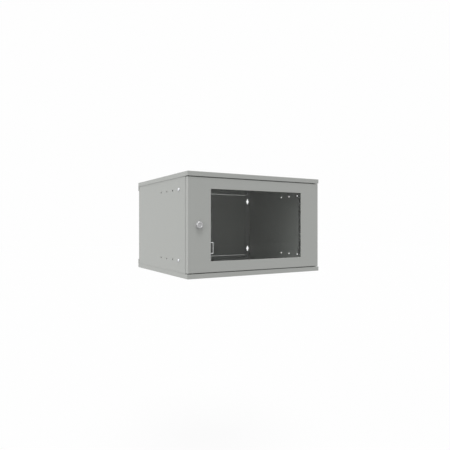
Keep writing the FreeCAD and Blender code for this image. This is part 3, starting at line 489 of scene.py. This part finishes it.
def rubber_stop(thickness, radius):
    """A rubber stop with a rounded front."""
    front = rounding(0, radius, 0.6 * thickness)
    return smoothed(turned([(-thickness, radius), (-0.7 * thickness, radius), *front]))


def lock_head(lock, size, projection, length):
    """The housing: a collar, a tapered wall and a rounded rim round the bore, with a threaded body."""
    foot, wall = lock.head_width / 2, lock.head_width / 2 - lock.head_taper
    collar, edge = lock.collar - projection, EDGE_ROUNDING * lock.collar
    bore = lock.barrel_width / 2 + size.clearance
    head = turned(
        [
            (-projection, foot),
            (collar, foot),
            (collar + edge, foot - edge),
            *rounding(0, wall, lock.rim),
            (0, bore + lock.collar / 2),
            (-lock.collar, bore - lock.collar / 2),
        ],
        sides=96,
    )
    lower_end(head)
    bpy.ops.mesh.inset(thickness=foot - size.diameter / 2, depth=0)
    threaded(size, length - projection)
    drill = turned([(-2 * length, bore), (length, bore)])
    carved(head, drill)
    bpy.data.objects.remove(drill)
    return smoothed(head)


def lock_plug(lock, length, tail):
    """The barrel: a dished face with a shuttered key slot, and a square tail for the cam."""
    radius, edge = lock.barrel_width / 2, lock.collar / 2
    plug = turned(
        [
            (tail - length, radius),
            (-edge, radius),
            (0, radius - edge),
            (0, radius - 2 * edge),
            (-edge / 2, radius - 2.5 * edge),
        ]
    )
    slot = (lock.slot_length, lock.slot_width, 2 * lock.slot_depth)
    bpy.ops.mesh.primitive_cube_add(size=1, scale=slot)
    key = bpy.context.object
    bpy.ops.object.transform_apply(scale=True)
    pick(key, lambda centre, normal: abs(normal.x) > STRAIGHT)
    bpy.ops.mesh.bevel(offset=lock.slot_width * 0.3, segments=4, affect="EDGES")
    close_editing()
    carved(plug, key)
    bpy.data.objects.remove(key)
    block = (lock.tail_width, lock.tail_width, tail)
    bpy.ops.mesh.primitive_cube_add(size=1, scale=block, location=(0, 0, tail / 2 - length))
    square = bpy.context.object
    bpy.ops.object.transform_apply(location=True, scale=True)
    lower_end(square)
    bpy.ops.mesh.bevel(offset=0.1 * tail, segments=2, affect="EDGES")
    alone(plug, square)
    bpy.ops.object.join()
    return smoothed(plug)


def coil_spring(wire, radius, length, turns, place):
    """An open coil of round wire that stands at a place."""
    close_editing()
    sides = 12
    upright = (math.pi / 2, 0, 0)
    bpy.ops.mesh.primitive_circle_add(
        vertices=sides, radius=wire / 2, location=(radius, 0, wire / 2), rotation=upright
    )
    bpy.ops.object.transform_apply(location=True, rotation=True)
    coil = bpy.context.object
    alone(coil)
    winding = coil.modifiers.new("winding", "SCREW")
    winding.screw_offset = (length - wire) / turns
    winding.iterations = turns
    winding.steps = winding.render_steps = 32
    bpy.ops.object.modifier_apply(modifier=winding.name)
    bpy.ops.object.mode_set(mode="EDIT")
    bpy.ops.mesh.select_all(action="SELECT")
    bpy.ops.mesh.fill_holes(sides=sides)
    bpy.ops.mesh.select_all(action="SELECT")
    bpy.ops.mesh.normals_make_consistent(inside=False)
    close_editing()
    coil.location = place
    bpy.ops.object.transform_apply(location=True)
    return smoothed(coil)


def hexagon_nut(size, thickness):
    """A nut whose six corners are turned down at both ends, with a countersunk bore."""
    corner = size.nut / math.sqrt(3)
    cut = NUT_CORNER * size.nut
    rise = cut * math.tan(NUT_CORNER_SLOPE)
    middle = (0, 0, -thickness / 2)
    bpy.ops.mesh.primitive_cylinder_add(vertices=6, radius=corner, depth=thickness, location=middle)
    bpy.ops.object.transform_apply(location=True)
    nut = bpy.context.object
    just_over = 1.001  # keeps the blank's wall clear of the corners
    bpy.ops.mesh.primitive_cylinder_add(
        vertices=72, radius=corner * just_over, depth=thickness - 2 * rise, location=middle
    )
    bpy.ops.object.transform_apply(location=True)
    turned_blank = bpy.context.object
    flared(turned_blank, 2 * rise, (corner - 2 * cut) / corner)
    carved(nut, turned_blank, "INTERSECT")
    bore = size.diameter / 2 + size.clearance
    bpy.ops.mesh.primitive_cylinder_add(
        vertices=32, radius=bore, depth=thickness - size.pitch, location=middle
    )
    bpy.ops.object.transform_apply(location=True)
    drill = bpy.context.object
    flared(drill, size.pitch, 1 + size.pitch / bore)
    carved(nut, drill)
    bpy.data.objects.remove(turned_blank)
    bpy.data.objects.remove(drill)
    return smoothed(nut, 28)


def sideways(middle):
    """The way out to the nearer side."""
    return Vector((math.copysign(1, middle.x), 0, 0))


def towards_middle(middle):
    return -sideways(middle)


def inwards(middle):
    """Up from the bottom cap, and down from the top cap."""
    return Vector((0, 0, math.copysign(1, CAD_MIDDLE.z - middle.z)))


def frontwards(middle):
    return Vector((0, -1, 0))


def backwards(middle):
    return Vector((0, 1, 0))


def upwards(middle):
    return Vector((0, 0, 1))


def downwards(middle):
    return Vector((0, 0, -1))


def box_of(item):
    """The lowest and highest corners of an object's mesh."""
    points = [vertex.co for vertex in item.data.vertices]
    return [Vector(reach(point[axis] for point in points) for axis in range(3)) for reach in (min, max)]


def solids(node):
    """The lowest and highest corners of each solid of a CAD node."""
    copy = NODES[node].copy()
    copy.data = copy.data.copy()
    bpy.context.scene.collection.objects.link(copy)
    alone(copy)
    bpy.ops.object.mode_set(mode="EDIT")
    bpy.ops.mesh.select_all(action="SELECT")
    bpy.ops.mesh.remove_doubles(threshold=SAME_PLACE)
    bpy.ops.mesh.separate(type="LOOSE")
    bpy.ops.object.mode_set(mode="OBJECT")
    boxes = [box_of(item) for item in bpy.context.selected_objects]
    bpy.ops.object.delete()
    return sorted(boxes, key=lambda box: tuple(round(value, PLACES) for value in box[0]))


def depth_of(node, outward):
    """How long a node's first solid is, the way it looks."""
    low, high = solids(node)[0]
    up = outward((low + high) / 2)
    return sum(abs(up[axis]) * (high[axis] - low[axis]) for axis in range(3))


def stance(low, high, up):
    """Stands a piece's Z along a solid's outward way, from its outer end, and its Y along its width."""
    middle = (low + high) / 2
    ends = {0: middle, 1: high, -1: low}
    spot = Vector(ends[round(up[axis])][axis] for axis in range(3))
    level = [axis for axis in range(3) if not up[axis]]
    widest = max(level, key=lambda axis: round(high[axis] - low[axis], PLACES))
    side = Vector(float(axis == widest) for axis in range(3))
    turn = Matrix((side.cross(up), side, up)).transposed()
    return Matrix.Translation(spot) @ turn.to_4x4()


def fitted(master, node, outward, turn=0.0):
    """Copies a piece to each solid of a node; outward says which way a solid looks."""
    for index, (low, high) in enumerate(solids(node), 1):
        piece = master.copy()
        piece.data = master.data.copy()
        piece.name = f"{node}_{index}"
        bpy.context.scene.collection.objects.link(piece)
        stand = stance(low, high, outward((low + high) / 2))
        piece.matrix_world = stand @ Matrix.Rotation(turn * index, 4, "Z")
        alone(piece)
        bpy.ops.object.transform_apply(location=True, rotation=True, scale=True)
        stand_for(node, piece)
    bpy.data.objects.remove(master)


# finishes


def powder_coat(finishes):
    """Fine-textured grey powder coat: small soft lumps, faint clouds and slightly uneven gloss."""
    coat = new_finish("powder_coat")
    cloud = coat.noise(160 * MM)
    lumps = coat.noise(finishes.paint_grain, detail=3.0)
    uneven_gloss = cloud * 0.08 + lumps * 0.06
    mean_uneven_gloss = 0.07
    return coat.done(
        coat.principled(
            Base_Color=coat.tinted(
                cloud * 0.6 + lumps * 0.4, finishes.paint_colour, darkest=0.965, lightest=1.035
            ),
            Roughness=uneven_gloss + (finishes.paint_roughness - mean_uneven_gloss),
            Specular_IOR_Level=0.35,
            Normal=coat.bump(lumps, finishes.paint_depth),
        )
    )


def zinc_plating(name, colour, grain):
    """Bright zinc: crystal-like patches of slightly different shine, with fine rolling lines."""
    zinc = new_finish(name)
    patches = zinc.cells(grain)
    lines = zinc.noise(1.2 * MM, stretch=(1, 1, 0.04))
    least_roughness = 0.27
    return zinc.done(
        zinc.principled(
            Base_Color=zinc.tinted(patches * 0.5 + lines * 0.5, colour, darkest=0.9, lightest=1.06),
            Metallic=1.0,
            Roughness=patches * 0.12 + lines * 0.1 + least_roughness,
            Normal=zinc.bump(lines, 0.01 * MM),
        )
    )


def satin_chrome(finishes):
    """The lock's plated die casting: even and satin, with a trace of polishing grain."""
    chrome = new_finish("satin_chrome")
    grain = chrome.noise(0.6 * MM, stretch=(0.15, 1, 1))
    cloud = chrome.noise(12 * MM)
    least_roughness = 0.17
    return chrome.done(
        chrome.principled(
            Base_Color=chrome.tinted(cloud, finishes.lock_colour, darkest=0.96, lightest=1.03),
            Metallic=finishes.lock_metal,
            Roughness=grain * 0.08 + cloud * 0.05 + least_roughness,
            Normal=chrome.bump(grain, 0.004 * MM),
        )
    )


def pin_steel(finishes):
    """Drawn round bar, lightly oiled, with lines along its length."""
    steel = new_finish("pin_steel")
    lines = steel.noise(0.8 * MM, stretch=(1, 1, 0.05))
    stain = steel.noise(10 * MM)
    least_roughness = 0.2
    return steel.done(
        steel.principled(
            Base_Color=steel.blend(stain, shade(finishes.pin_stain, 1), shade(finishes.pin_colour, 1)),
            Metallic=1.0,
            Roughness=lines * 0.15 + stain * 0.12 + least_roughness,
            Normal=steel.bump(lines, 0.006 * MM),
        )
    )


def matt_solid(name, colour, grain, roughness):
    """Rubber, foam or plastic: one colour with a fine surface grain."""
    solid = new_finish(name)
    lumps = solid.noise(grain, detail=4.0)
    return solid.done(
        solid.principled(
            Base_Color=solid.tinted(lumps, colour, darkest=0.85, lightest=1.15),
            Roughness=lumps * 0.12 + (roughness - 0.12 / 2),
            Normal=solid.bump(lumps, grain / 12),
        )
    )


def window_glass(finishes):
    """Clear float glass, faintly green where it is thick, that lets the lamps' light straight through."""
    glass = new_finish("window_glass")
    pane = glass.principled(
        Base_Color=glass.blend(glass.noise(200 * MM), (0.965, 0.985, 0.975, 1), (0.985, 0.995, 0.99, 1)),
        Roughness=0.0,
        IOR=finishes.glass_index,
        Transmission_Weight=1.0,
    )
    open_air = glass.node("ShaderNodeBsdfTransparent", {}, {"Color": (0.96, 0.98, 0.97, 1)})["BSDF"]
    for_lamps = glass.node("ShaderNodeLightPath")["Is Shadow Ray"]
    return glass.done(glass.mixed(for_lamps, pane, open_air))


# settings


def distance(name, description, millimetres):
    """A length that a user may change."""
    default = millimetres * MM
    return FloatProperty(
        name=name, description=description, subtype="DISTANCE", unit="LENGTH", default=default
    )


def turning(name, description, degrees):
    """An angle that a user may change."""
    default = math.radians(degrees)
    return FloatProperty(
        name=name, description=description, subtype="ANGLE", unit="ROTATION", default=default
    )


def amount(name, description, default, highest=1.0):
    """A plain number that a user may change."""
    return FloatProperty(name=name, description=description, min=0, max=highest, default=default)


def tint(name, description, *channels):
    """A colour that a user may change."""
    return FloatVectorProperty(
        name=name, description=description, subtype="COLOR", size=3, min=0, max=1, default=channels
    )


class CabinetFinishes(bpy.types.PropertyGroup):
    """Colours and surfaces"""

    paint_colour: tint("Paint", "Colour of the powder coat", 0.395, 0.405, 0.388)
    paint_roughness: amount("Paint roughness", "Mean roughness of the powder coat", 0.5)
    paint_grain: distance("Paint grain", "Size of the powder coat's lumps", 1.1)
    paint_depth: distance("Paint depth", "Height of the powder coat's lumps", 0.012)
    zinc_colour: tint("Zinc", "Colour of the zinc plating", 0.60, 0.61, 0.63)
    pin_colour: tint("Pins", "Colour of the hinge pins' clean steel", 0.62, 0.62, 0.62)
    pin_stain: tint("Pin stain", "Colour of the hinge pins where oil has darkened them", 0.46, 0.45, 0.44)
    lock_colour: tint("Lock", "Colour of the lock's satin chrome", 0.46, 0.46, 0.465)
    lock_metal: amount("Lock metal", "How much of the lock's shine is a metal's mirror", 0.5)
    glass_index: amount("Glass index", "Refractive index of the window", 1.24, 2)
    foam_colour: tint("Foam", "Colour of the tape under the glass", 0.03, 0.03, 0.032)
    nylon_colour: tint("Nylon", "Colour of the hinge bushes", 0.72, 0.72, 0.69)
    rubber_colour: tint("Rubber", "Colour of the door's stops", 0.025, 0.025, 0.026)


class CabinetFasteners(bpy.types.PropertyGroup):
    """Sizes of screws, nuts, stud and spring"""

    large_thread: distance("Large thread", "Outer diameter of the large screws' thread", 6)
    large_pitch: distance("Large pitch", "Step of the large screws' thread", 1)
    small_thread: distance("Small thread", "Outer diameter of the small screws' thread", 4)
    small_pitch: distance("Small pitch", "Step of the small screws' thread", 0.7)
    clearance: distance("Clearance", "Room round a thread in its nut", 0.1)
    large_nut: distance("Large nut", "Width of the large nuts across their flats", 10)
    small_nut: distance("Small nut", "Width of the small nuts across their flats", 7)
    rail_head: distance("Rail head", "Diameter of the rail screws' heads", 12)
    rail_head_height: distance("Rail head height", "Height of the rail screws' heads", 4)
    corner_head: distance("Corner head", "Diameter of the corner screws' heads", 10)
    corner_head_height: distance("Corner head height", "Height of the corner screws' heads", 3)
    small_head: distance("Small head", "Diameter of the small screws' heads", 8)
    small_head_height: distance("Small head height", "Height of the small screws' heads", 1.6)
    flush_head_height: distance("Flush head height", "Height of the flush screws' cones", 1)
    stud_flange: distance("Stud flange", "Thickness of the earthing stud's welded flange", 1)
    spring_wire: distance("Spring wire", "Thickness of the hinge spring's wire", 0.8)
    spring_turns: IntProperty(
        name="Spring turns", description="How often the hinge spring's wire goes round", min=1, default=6
    )


class CabinetLock(bpy.types.PropertyGroup):
    """Sizes of the lock"""

    head_width: distance("Head width", "Diameter of the housing's collar on the door", 28)
    head_taper: distance("Head taper", "How much the wall draws in from the collar, on each side", 1)
    collar: distance("Collar", "Thickness of the collar on the door", 0.8)
    rim: distance("Rim", "Radius of the rounded front rim", 4)
    body_thread: distance("Body thread", "Outer diameter of the threaded body behind the door", 18.6)
    body_pitch: distance("Body pitch", "Step of the body's thread", 1)
    body_nut: distance("Body nut", "Width of the body's nut across its flats", 24)
    barrel_width: distance("Barrel", "Diameter of the turning barrel", 13)
    slot_length: distance("Slot length", "Length of the key slot", 8.5)
    slot_width: distance("Slot width", "Width of the key slot", 2.2)
    slot_depth: distance("Slot depth", "Depth of the key slot down to its dust shutter", 1)
    tail_width: distance("Tail width", "Width of the barrel's square tail", 8)
    screw_head: distance("Screw head", "Diameter of the cam screw's head", 11)


class CabinetStudio(bpy.types.PropertyGroup):
    """Camera, floor and light"""

    camera_place: FloatVectorProperty(
        name="Camera",
        description="Where the camera stands, level with the middle of the cabinet",
        subtype="TRANSLATION",
        unit="LENGTH",
        size=3,
        default=(-0.9484, -1.6393, CAD_MIDDLE.z),
    )
    camera_turn: turning("Camera turn", "How far the camera is turned to the right of straight ahead", 30)
    camera_lens: FloatProperty(
        name="Camera lens",
        description="Focal length of the camera",
        subtype="DISTANCE_CAMERA",
        unit="CAMERA",
        default=35,
    )
    floor_drop: distance("Floor drop", "Height of the cabinet's underside over the floor", 900)
    floor_grey: amount("Floor grey", "How much light the floor gives back to things over it", 0.5)
    floor_shadow: amount("Floor shadow", "How much of a shadow shows on the floor", 0.06)
    floor_white: amount("Floor white", "How bright the floor looks, apart from what the lamps add", 0.92)
    sky_white: amount("Sky white", "How bright the background looks", 0.991)
    daylight: amount("Daylight", "Even light from all round", 0.615, 2)
    ceiling_light: amount("Ceiling light", "Strength of the soft light from high up", 1.5, 10)
    ceiling_height: turning("Ceiling height", "How high over the horizon the ceiling light stands", 70)
    ceiling_turn: turning("Ceiling turn", "How far to the left of the front the ceiling light stands", 17)
    ceiling_width: turning("Ceiling width", "How wide the ceiling light looks from the cabinet", 30)
    side_light: amount("Side light", "Strength of the soft light from the left", 1.3, 10)
    side_height: turning("Side height", "How high over the horizon the side light stands", 20)
    side_turn: turning("Side turn", "How far to the left of the front the side light stands", 84)
    side_width: turning("Side width", "How wide the side light looks from the cabinet", 56)


# studio


def seen_directly(surface):
    """1 for what is seen, straight, in metal or through glass, and 0 for light that falls on things."""
    path = surface.node("ShaderNodeLightPath")
    seen = path["Is Camera Ray"]
    for kind in ("Is Glossy Ray", "Is Transmission Ray"):
        seen = surface.node("ShaderNodeMath", {"operation": "MAXIMUM"}, {0: seen, 1: path[kind]})["Value"]
    bounces = {0: path["Diffuse Depth"], 1: 0.5}
    return seen * surface.node("ShaderNodeMath", {"operation": "LESS_THAN"}, bounces)["Value"]


def lay_floor(studio):
    """A wide floor, grey to the light but almost white to the eye, that still takes a soft shadow."""
    drop = CAD_BOX[0].z - studio.floor_drop
    bpy.ops.mesh.primitive_plane_add(size=FLOOR_WIDTH, location=(0, 0, drop))
    floor = bpy.context.object
    floor.name = "floor"
    surface = new_finish("floor")
    grey = surface.matt(studio.floor_grey)
    shadow = surface.matt(studio.floor_shadow)
    glow = surface.node("ShaderNodeEmission", {}, {"Color": WHITE, "Strength": studio.floor_white})
    bright = surface.node("ShaderNodeAddShader", {}, {0: shadow, 1: glow["Emission"]})["Shader"]
    floor.data.materials.append(surface.done(surface.mixed(seen_directly(surface), grey, bright)))


def light_sky(scene, studio):
    """An even sky: white where it is seen, weaker where it only lights."""
    scene.world = bpy.data.worlds.new("daylight")
    sky = Finish(scene.world)
    seen = seen_directly(sky)
    strength = seen * studio.sky_white + (1 - seen) * studio.daylight
    background = sky.node("ShaderNodeBackground", {}, {"Color": WHITE, "Strength": strength})
    sky.node("ShaderNodeOutputWorld", {}, {"Surface": background["Background"]})


def far_lamp(studio, kind):
    """A wide soft light, so far away that it falls evenly; it turns from the front to the left."""
    strength, height, turn, width = (
        getattr(studio, f"{kind}_{setting}") for setting in ("light", "height", "turn", "width")
    )
    name = f"{kind}_light"
    lamp = bpy.data.objects.new(name, bpy.data.lights.new(name, "SUN"))
    lamp.data.energy = strength
    lamp.data.angle = width
    lamp.rotation_euler = (math.pi / 2 - height, 0, -turn)
    bpy.context.scene.collection.objects.link(lamp)


# operators


class CABINET_OT_paint_sheets(bpy.types.Operator):
    """Coats the folded sheets"""

    bl_idname = "cabinet.paint_sheets"
    bl_label = "Paint the sheets"

    def execute(self, context):
        dress(powder_coat(context.scene.cabinet_finishes), *PAINTED)
        return {"FINISHED"}


class CABINET_OT_plate_metal(bpy.types.Operator):
    """Plates rails, brackets and fasteners with zinc, and leaves the hinge pins bright"""

    bl_idname = "cabinet.plate_metal"
    bl_label = "Plate the metal parts"

    def execute(self, context):
        finishes = context.scene.cabinet_finishes
        zinc = finishes.zinc_colour
        brighter = shade(zinc, 1.15)
        dress(zinc_plating("zinc_sheet", zinc, grain=7 * MM), *PLATED)
        dress(zinc_plating("zinc_fastener", brighter, grain=2 * MM), *FASTENERS)
        dress(pin_steel(finishes), *PINS)
        return {"FINISHED"}


class CABINET_OT_finish_lock(bpy.types.Operator):
    """Gives the lock its satin chrome"""

    bl_idname = "cabinet.finish_lock"
    bl_label = "Finish the lock"

    def execute(self, context):
        dress(satin_chrome(context.scene.cabinet_finishes), *LOCK)
        return {"FINISHED"}


class CABINET_OT_glaze_door(bpy.types.Operator):
    """Finishes the window, its tape, the hinge bushes and the door's rubber stops"""

    bl_idname = "cabinet.glaze_door"
    bl_label = "Glaze the door"

    def execute(self, context):
        finishes = context.scene.cabinet_finishes
        foam = matt_solid("foam_tape", finishes.foam_colour, grain=0.8 * MM, roughness=0.9)
        nylon = matt_solid("bush_nylon", finishes.nylon_colour, grain=0.4 * MM, roughness=0.42)
        rubber = matt_solid("bumper_rubber", finishes.rubber_colour, grain=0.6 * MM, roughness=0.7)
        dress(window_glass(finishes), "door_glass")
        dress(foam, "glass_tape")
        dress(nylon, "hinge_bush_lower", "hinge_bush_upper")
        dress(rubber, "door_bumpers")
        return {"FINISHED"}


class CABINET_OT_turn_screws(bpy.types.Operator):
    """Makes the domed screws of rails, corners, cross rails and covers, and the back's flush ones"""

    bl_idname = "cabinet.turn_screws"
    bl_label = "Turn the screws"

    def execute(self, context):
        sizes = context.scene.cabinet_fasteners
        large, small = threads(sizes)
        for node, size, head, height, outward in (
            ("rail_screws", large, sizes.rail_head, sizes.rail_head_height, sideways),
            ("corner_screws", large, sizes.corner_head, sizes.corner_head_height, frontwards),
            ("front_rail_screws", small, sizes.small_head, sizes.small_head_height, frontwards),
            ("cable_cover_screws", small, sizes.small_head, sizes.small_head_height, inwards),
        ):
            screw = pan_head_screw(size, head, height, depth_of(node, outward))
            fitted(screw, node, outward, SCREW_TURN)
        node = "back_panel_screws"
        screw = countersunk_screw(small, sizes.flush_head_height, depth_of(node, backwards))
        fitted(screw, node, backwards, SCREW_TURN)
        return {"FINISHED"}


class CABINET_OT_make_nuts(bpy.types.Operator):
    """Makes the hexagon nuts of the rails, caps, cross rails, glass clips and earthing stud"""

    bl_idname = "cabinet.make_nuts"
    bl_label = "Make the nuts"

    def execute(self, context):
        large, small = threads(context.scene.cabinet_fasteners)
        for node, size, outward in (
            ("rail_nuts", large, towards_middle),
            ("cap_nuts", large, inwards),
            ("front_rail_nuts", small, backwards),
            ("glass_clip_nuts", small, backwards),
            ("earth_nut", large, upwards),
        ):
            fitted(hexagon_nut(size, depth_of(node, outward)), node, outward)
        return {"FINISHED"}


class CABINET_OT_make_lock(bpy.types.Operator):
    """Makes the lock's housing, nut, barrel and cam screw"""

    bl_idname = "cabinet.make_lock"
    bl_label = "Make the lock"

    def execute(self, context):
        lock, fasteners = context.scene.cabinet_lock, context.scene.cabinet_fasteners
        size = Thread(lock.body_thread, lock.body_pitch, fasteners.clearance / 2, lock.body_nut)
        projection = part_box("door_panel")[0].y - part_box("lock_housing")[0].y
        length = depth_of("lock_housing", frontwards)
        fitted(lock_head(lock, size, projection, length), "lock_housing", frontwards)
        fitted(hexagon_nut(size, depth_of("lock_nut", backwards)), "lock_nut", backwards)
        tail = depth_of("lock_cam", frontwards)
        fitted(lock_plug(lock, depth_of("lock_barrel", frontwards), tail), "lock_barrel", frontwards)
        large, _ = threads(fasteners)
        height = depth_of("cam_screw", backwards)
        fitted(pan_head_screw(large, lock.screw_head, height, height), "cam_screw", backwards)
        return {"FINISHED"}


class CABINET_OT_make_stops(bpy.types.Operator):
    """Makes the rubber stops that the door closes on, and the earthing stud"""

    bl_idname = "cabinet.make_stops"
    bl_label = "Make the stops and the stud"

    def execute(self, context):
        low, high = solids("door_bumpers")[0]
        fitted(rubber_stop(high.y - low.y, (high.z - low.z) / 2), "door_bumpers", frontwards)
        sizes = context.scene.cabinet_fasteners
        large, _ = threads(sizes)
        low, high = solids("earth_stud")[0]
        stud = flanged_stud(large, high.x - low.x, sizes.stud_flange, high.z - low.z)
        fitted(stud, "earth_stud", downwards)
        return {"FINISHED"}


class CABINET_OT_wind_spring(bpy.types.Operator):
    """Winds the spring under the upper hinge pin's collar"""

    bl_idname = "cabinet.wind_spring"
    bl_label = "Wind the spring"

    def execute(self, context):
        fasteners = context.scene.cabinet_fasteners
        low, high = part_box("pin_spring")
        foot = ((low.x + high.x) / 2, (low.y + high.y) / 2, low.z)
        radius, length = (high.x - low.x - fasteners.spring_wire) / 2, high.z - low.z
        spring = coil_spring(fasteners.spring_wire, radius, length, fasteners.spring_turns, foot)
        spring.name = "pin_spring_coil"
        stand_for("pin_spring", spring)
        slide = next(joint for joint in frame["joints"] if joint["name"] == "hinge_pin_slide")
        travel = max(slide["range_m"])
        1 - travel / length
        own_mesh(spring)
        return {"FINISHED"}


class CABINET_OT_set_stage(bpy.types.Operator):
    """Makes the white floor, the daylight, the soft lamps and the camera"""

    bl_idname = "cabinet.set_stage"
    bl_label = "Set the stage"

    def execute(self, context):
        studio = context.scene.cabinet_studio
        context.scene.view_settings.view_transform = "Standard"
        lay_floor(studio)
        light_sky(context.scene, studio)
        for kind in ("ceiling", "side"):
            far_lamp(studio, kind)
        camera = bpy.data.objects.new("camera", bpy.data.cameras.new("camera"))
        camera.data.lens = studio.camera_lens
        camera.location = studio.camera_place
        camera.rotation_euler = (math.radians(90), 0, -studio.camera_turn)
        context.scene.collection.objects.link(camera)
        context.scene.camera = camera
        return {"FINISHED"}


class CABINET_PT_sidebar(bpy.types.Panel):
    """Lists the cabinet's steps and settings"""

    bl_idname = "CABINET_PT_sidebar"
    bl_label = "Cabinet"
    bl_space_type = "VIEW_3D"
    bl_region_type = "UI"
    bl_category = "Cabinet"

    def draw(self, context):
        for step in STEPS:
            self.layout.operator(step.bl_idname)
        for name, group in SETTINGS.items():
            for setting in group.__annotations__:
                self.layout.prop(getattr(context.scene, name), setting)


SETTINGS = {
    "cabinet_finishes": CabinetFinishes,
    "cabinet_fasteners": CabinetFasteners,
    "cabinet_lock": CabinetLock,
    "cabinet_studio": CabinetStudio,
}
STEPS = (
    CABINET_OT_paint_sheets,
    CABINET_OT_plate_metal,
    CABINET_OT_finish_lock,
    CABINET_OT_glaze_door,
    CABINET_OT_turn_screws,
    CABINET_OT_make_nuts,
    CABINET_OT_make_lock,
    CABINET_OT_make_stops,
    CABINET_OT_wind_spring,
    CABINET_OT_set_stage,
)
CLASSES = (*SETTINGS.values(), *STEPS, CABINET_PT_sidebar)


def register():
    for item in CLASSES:
        bpy.utils.register_class(item)
    for name, group in SETTINGS.items():
        setattr(bpy.types.Scene, name, PointerProperty(type=group))


def unregister():
    for name in SETTINGS:
        delattr(bpy.types.Scene, name)
    for item in reversed(CLASSES):
        bpy.utils.unregister_class(item)


def main():
    """Takes all steps in order."""
    register()
    for step in STEPS:
        group, name = step.bl_idname.split(".")
        getattr(getattr(bpy.ops, group), name)()


if __name__ == "__main__":
    main()
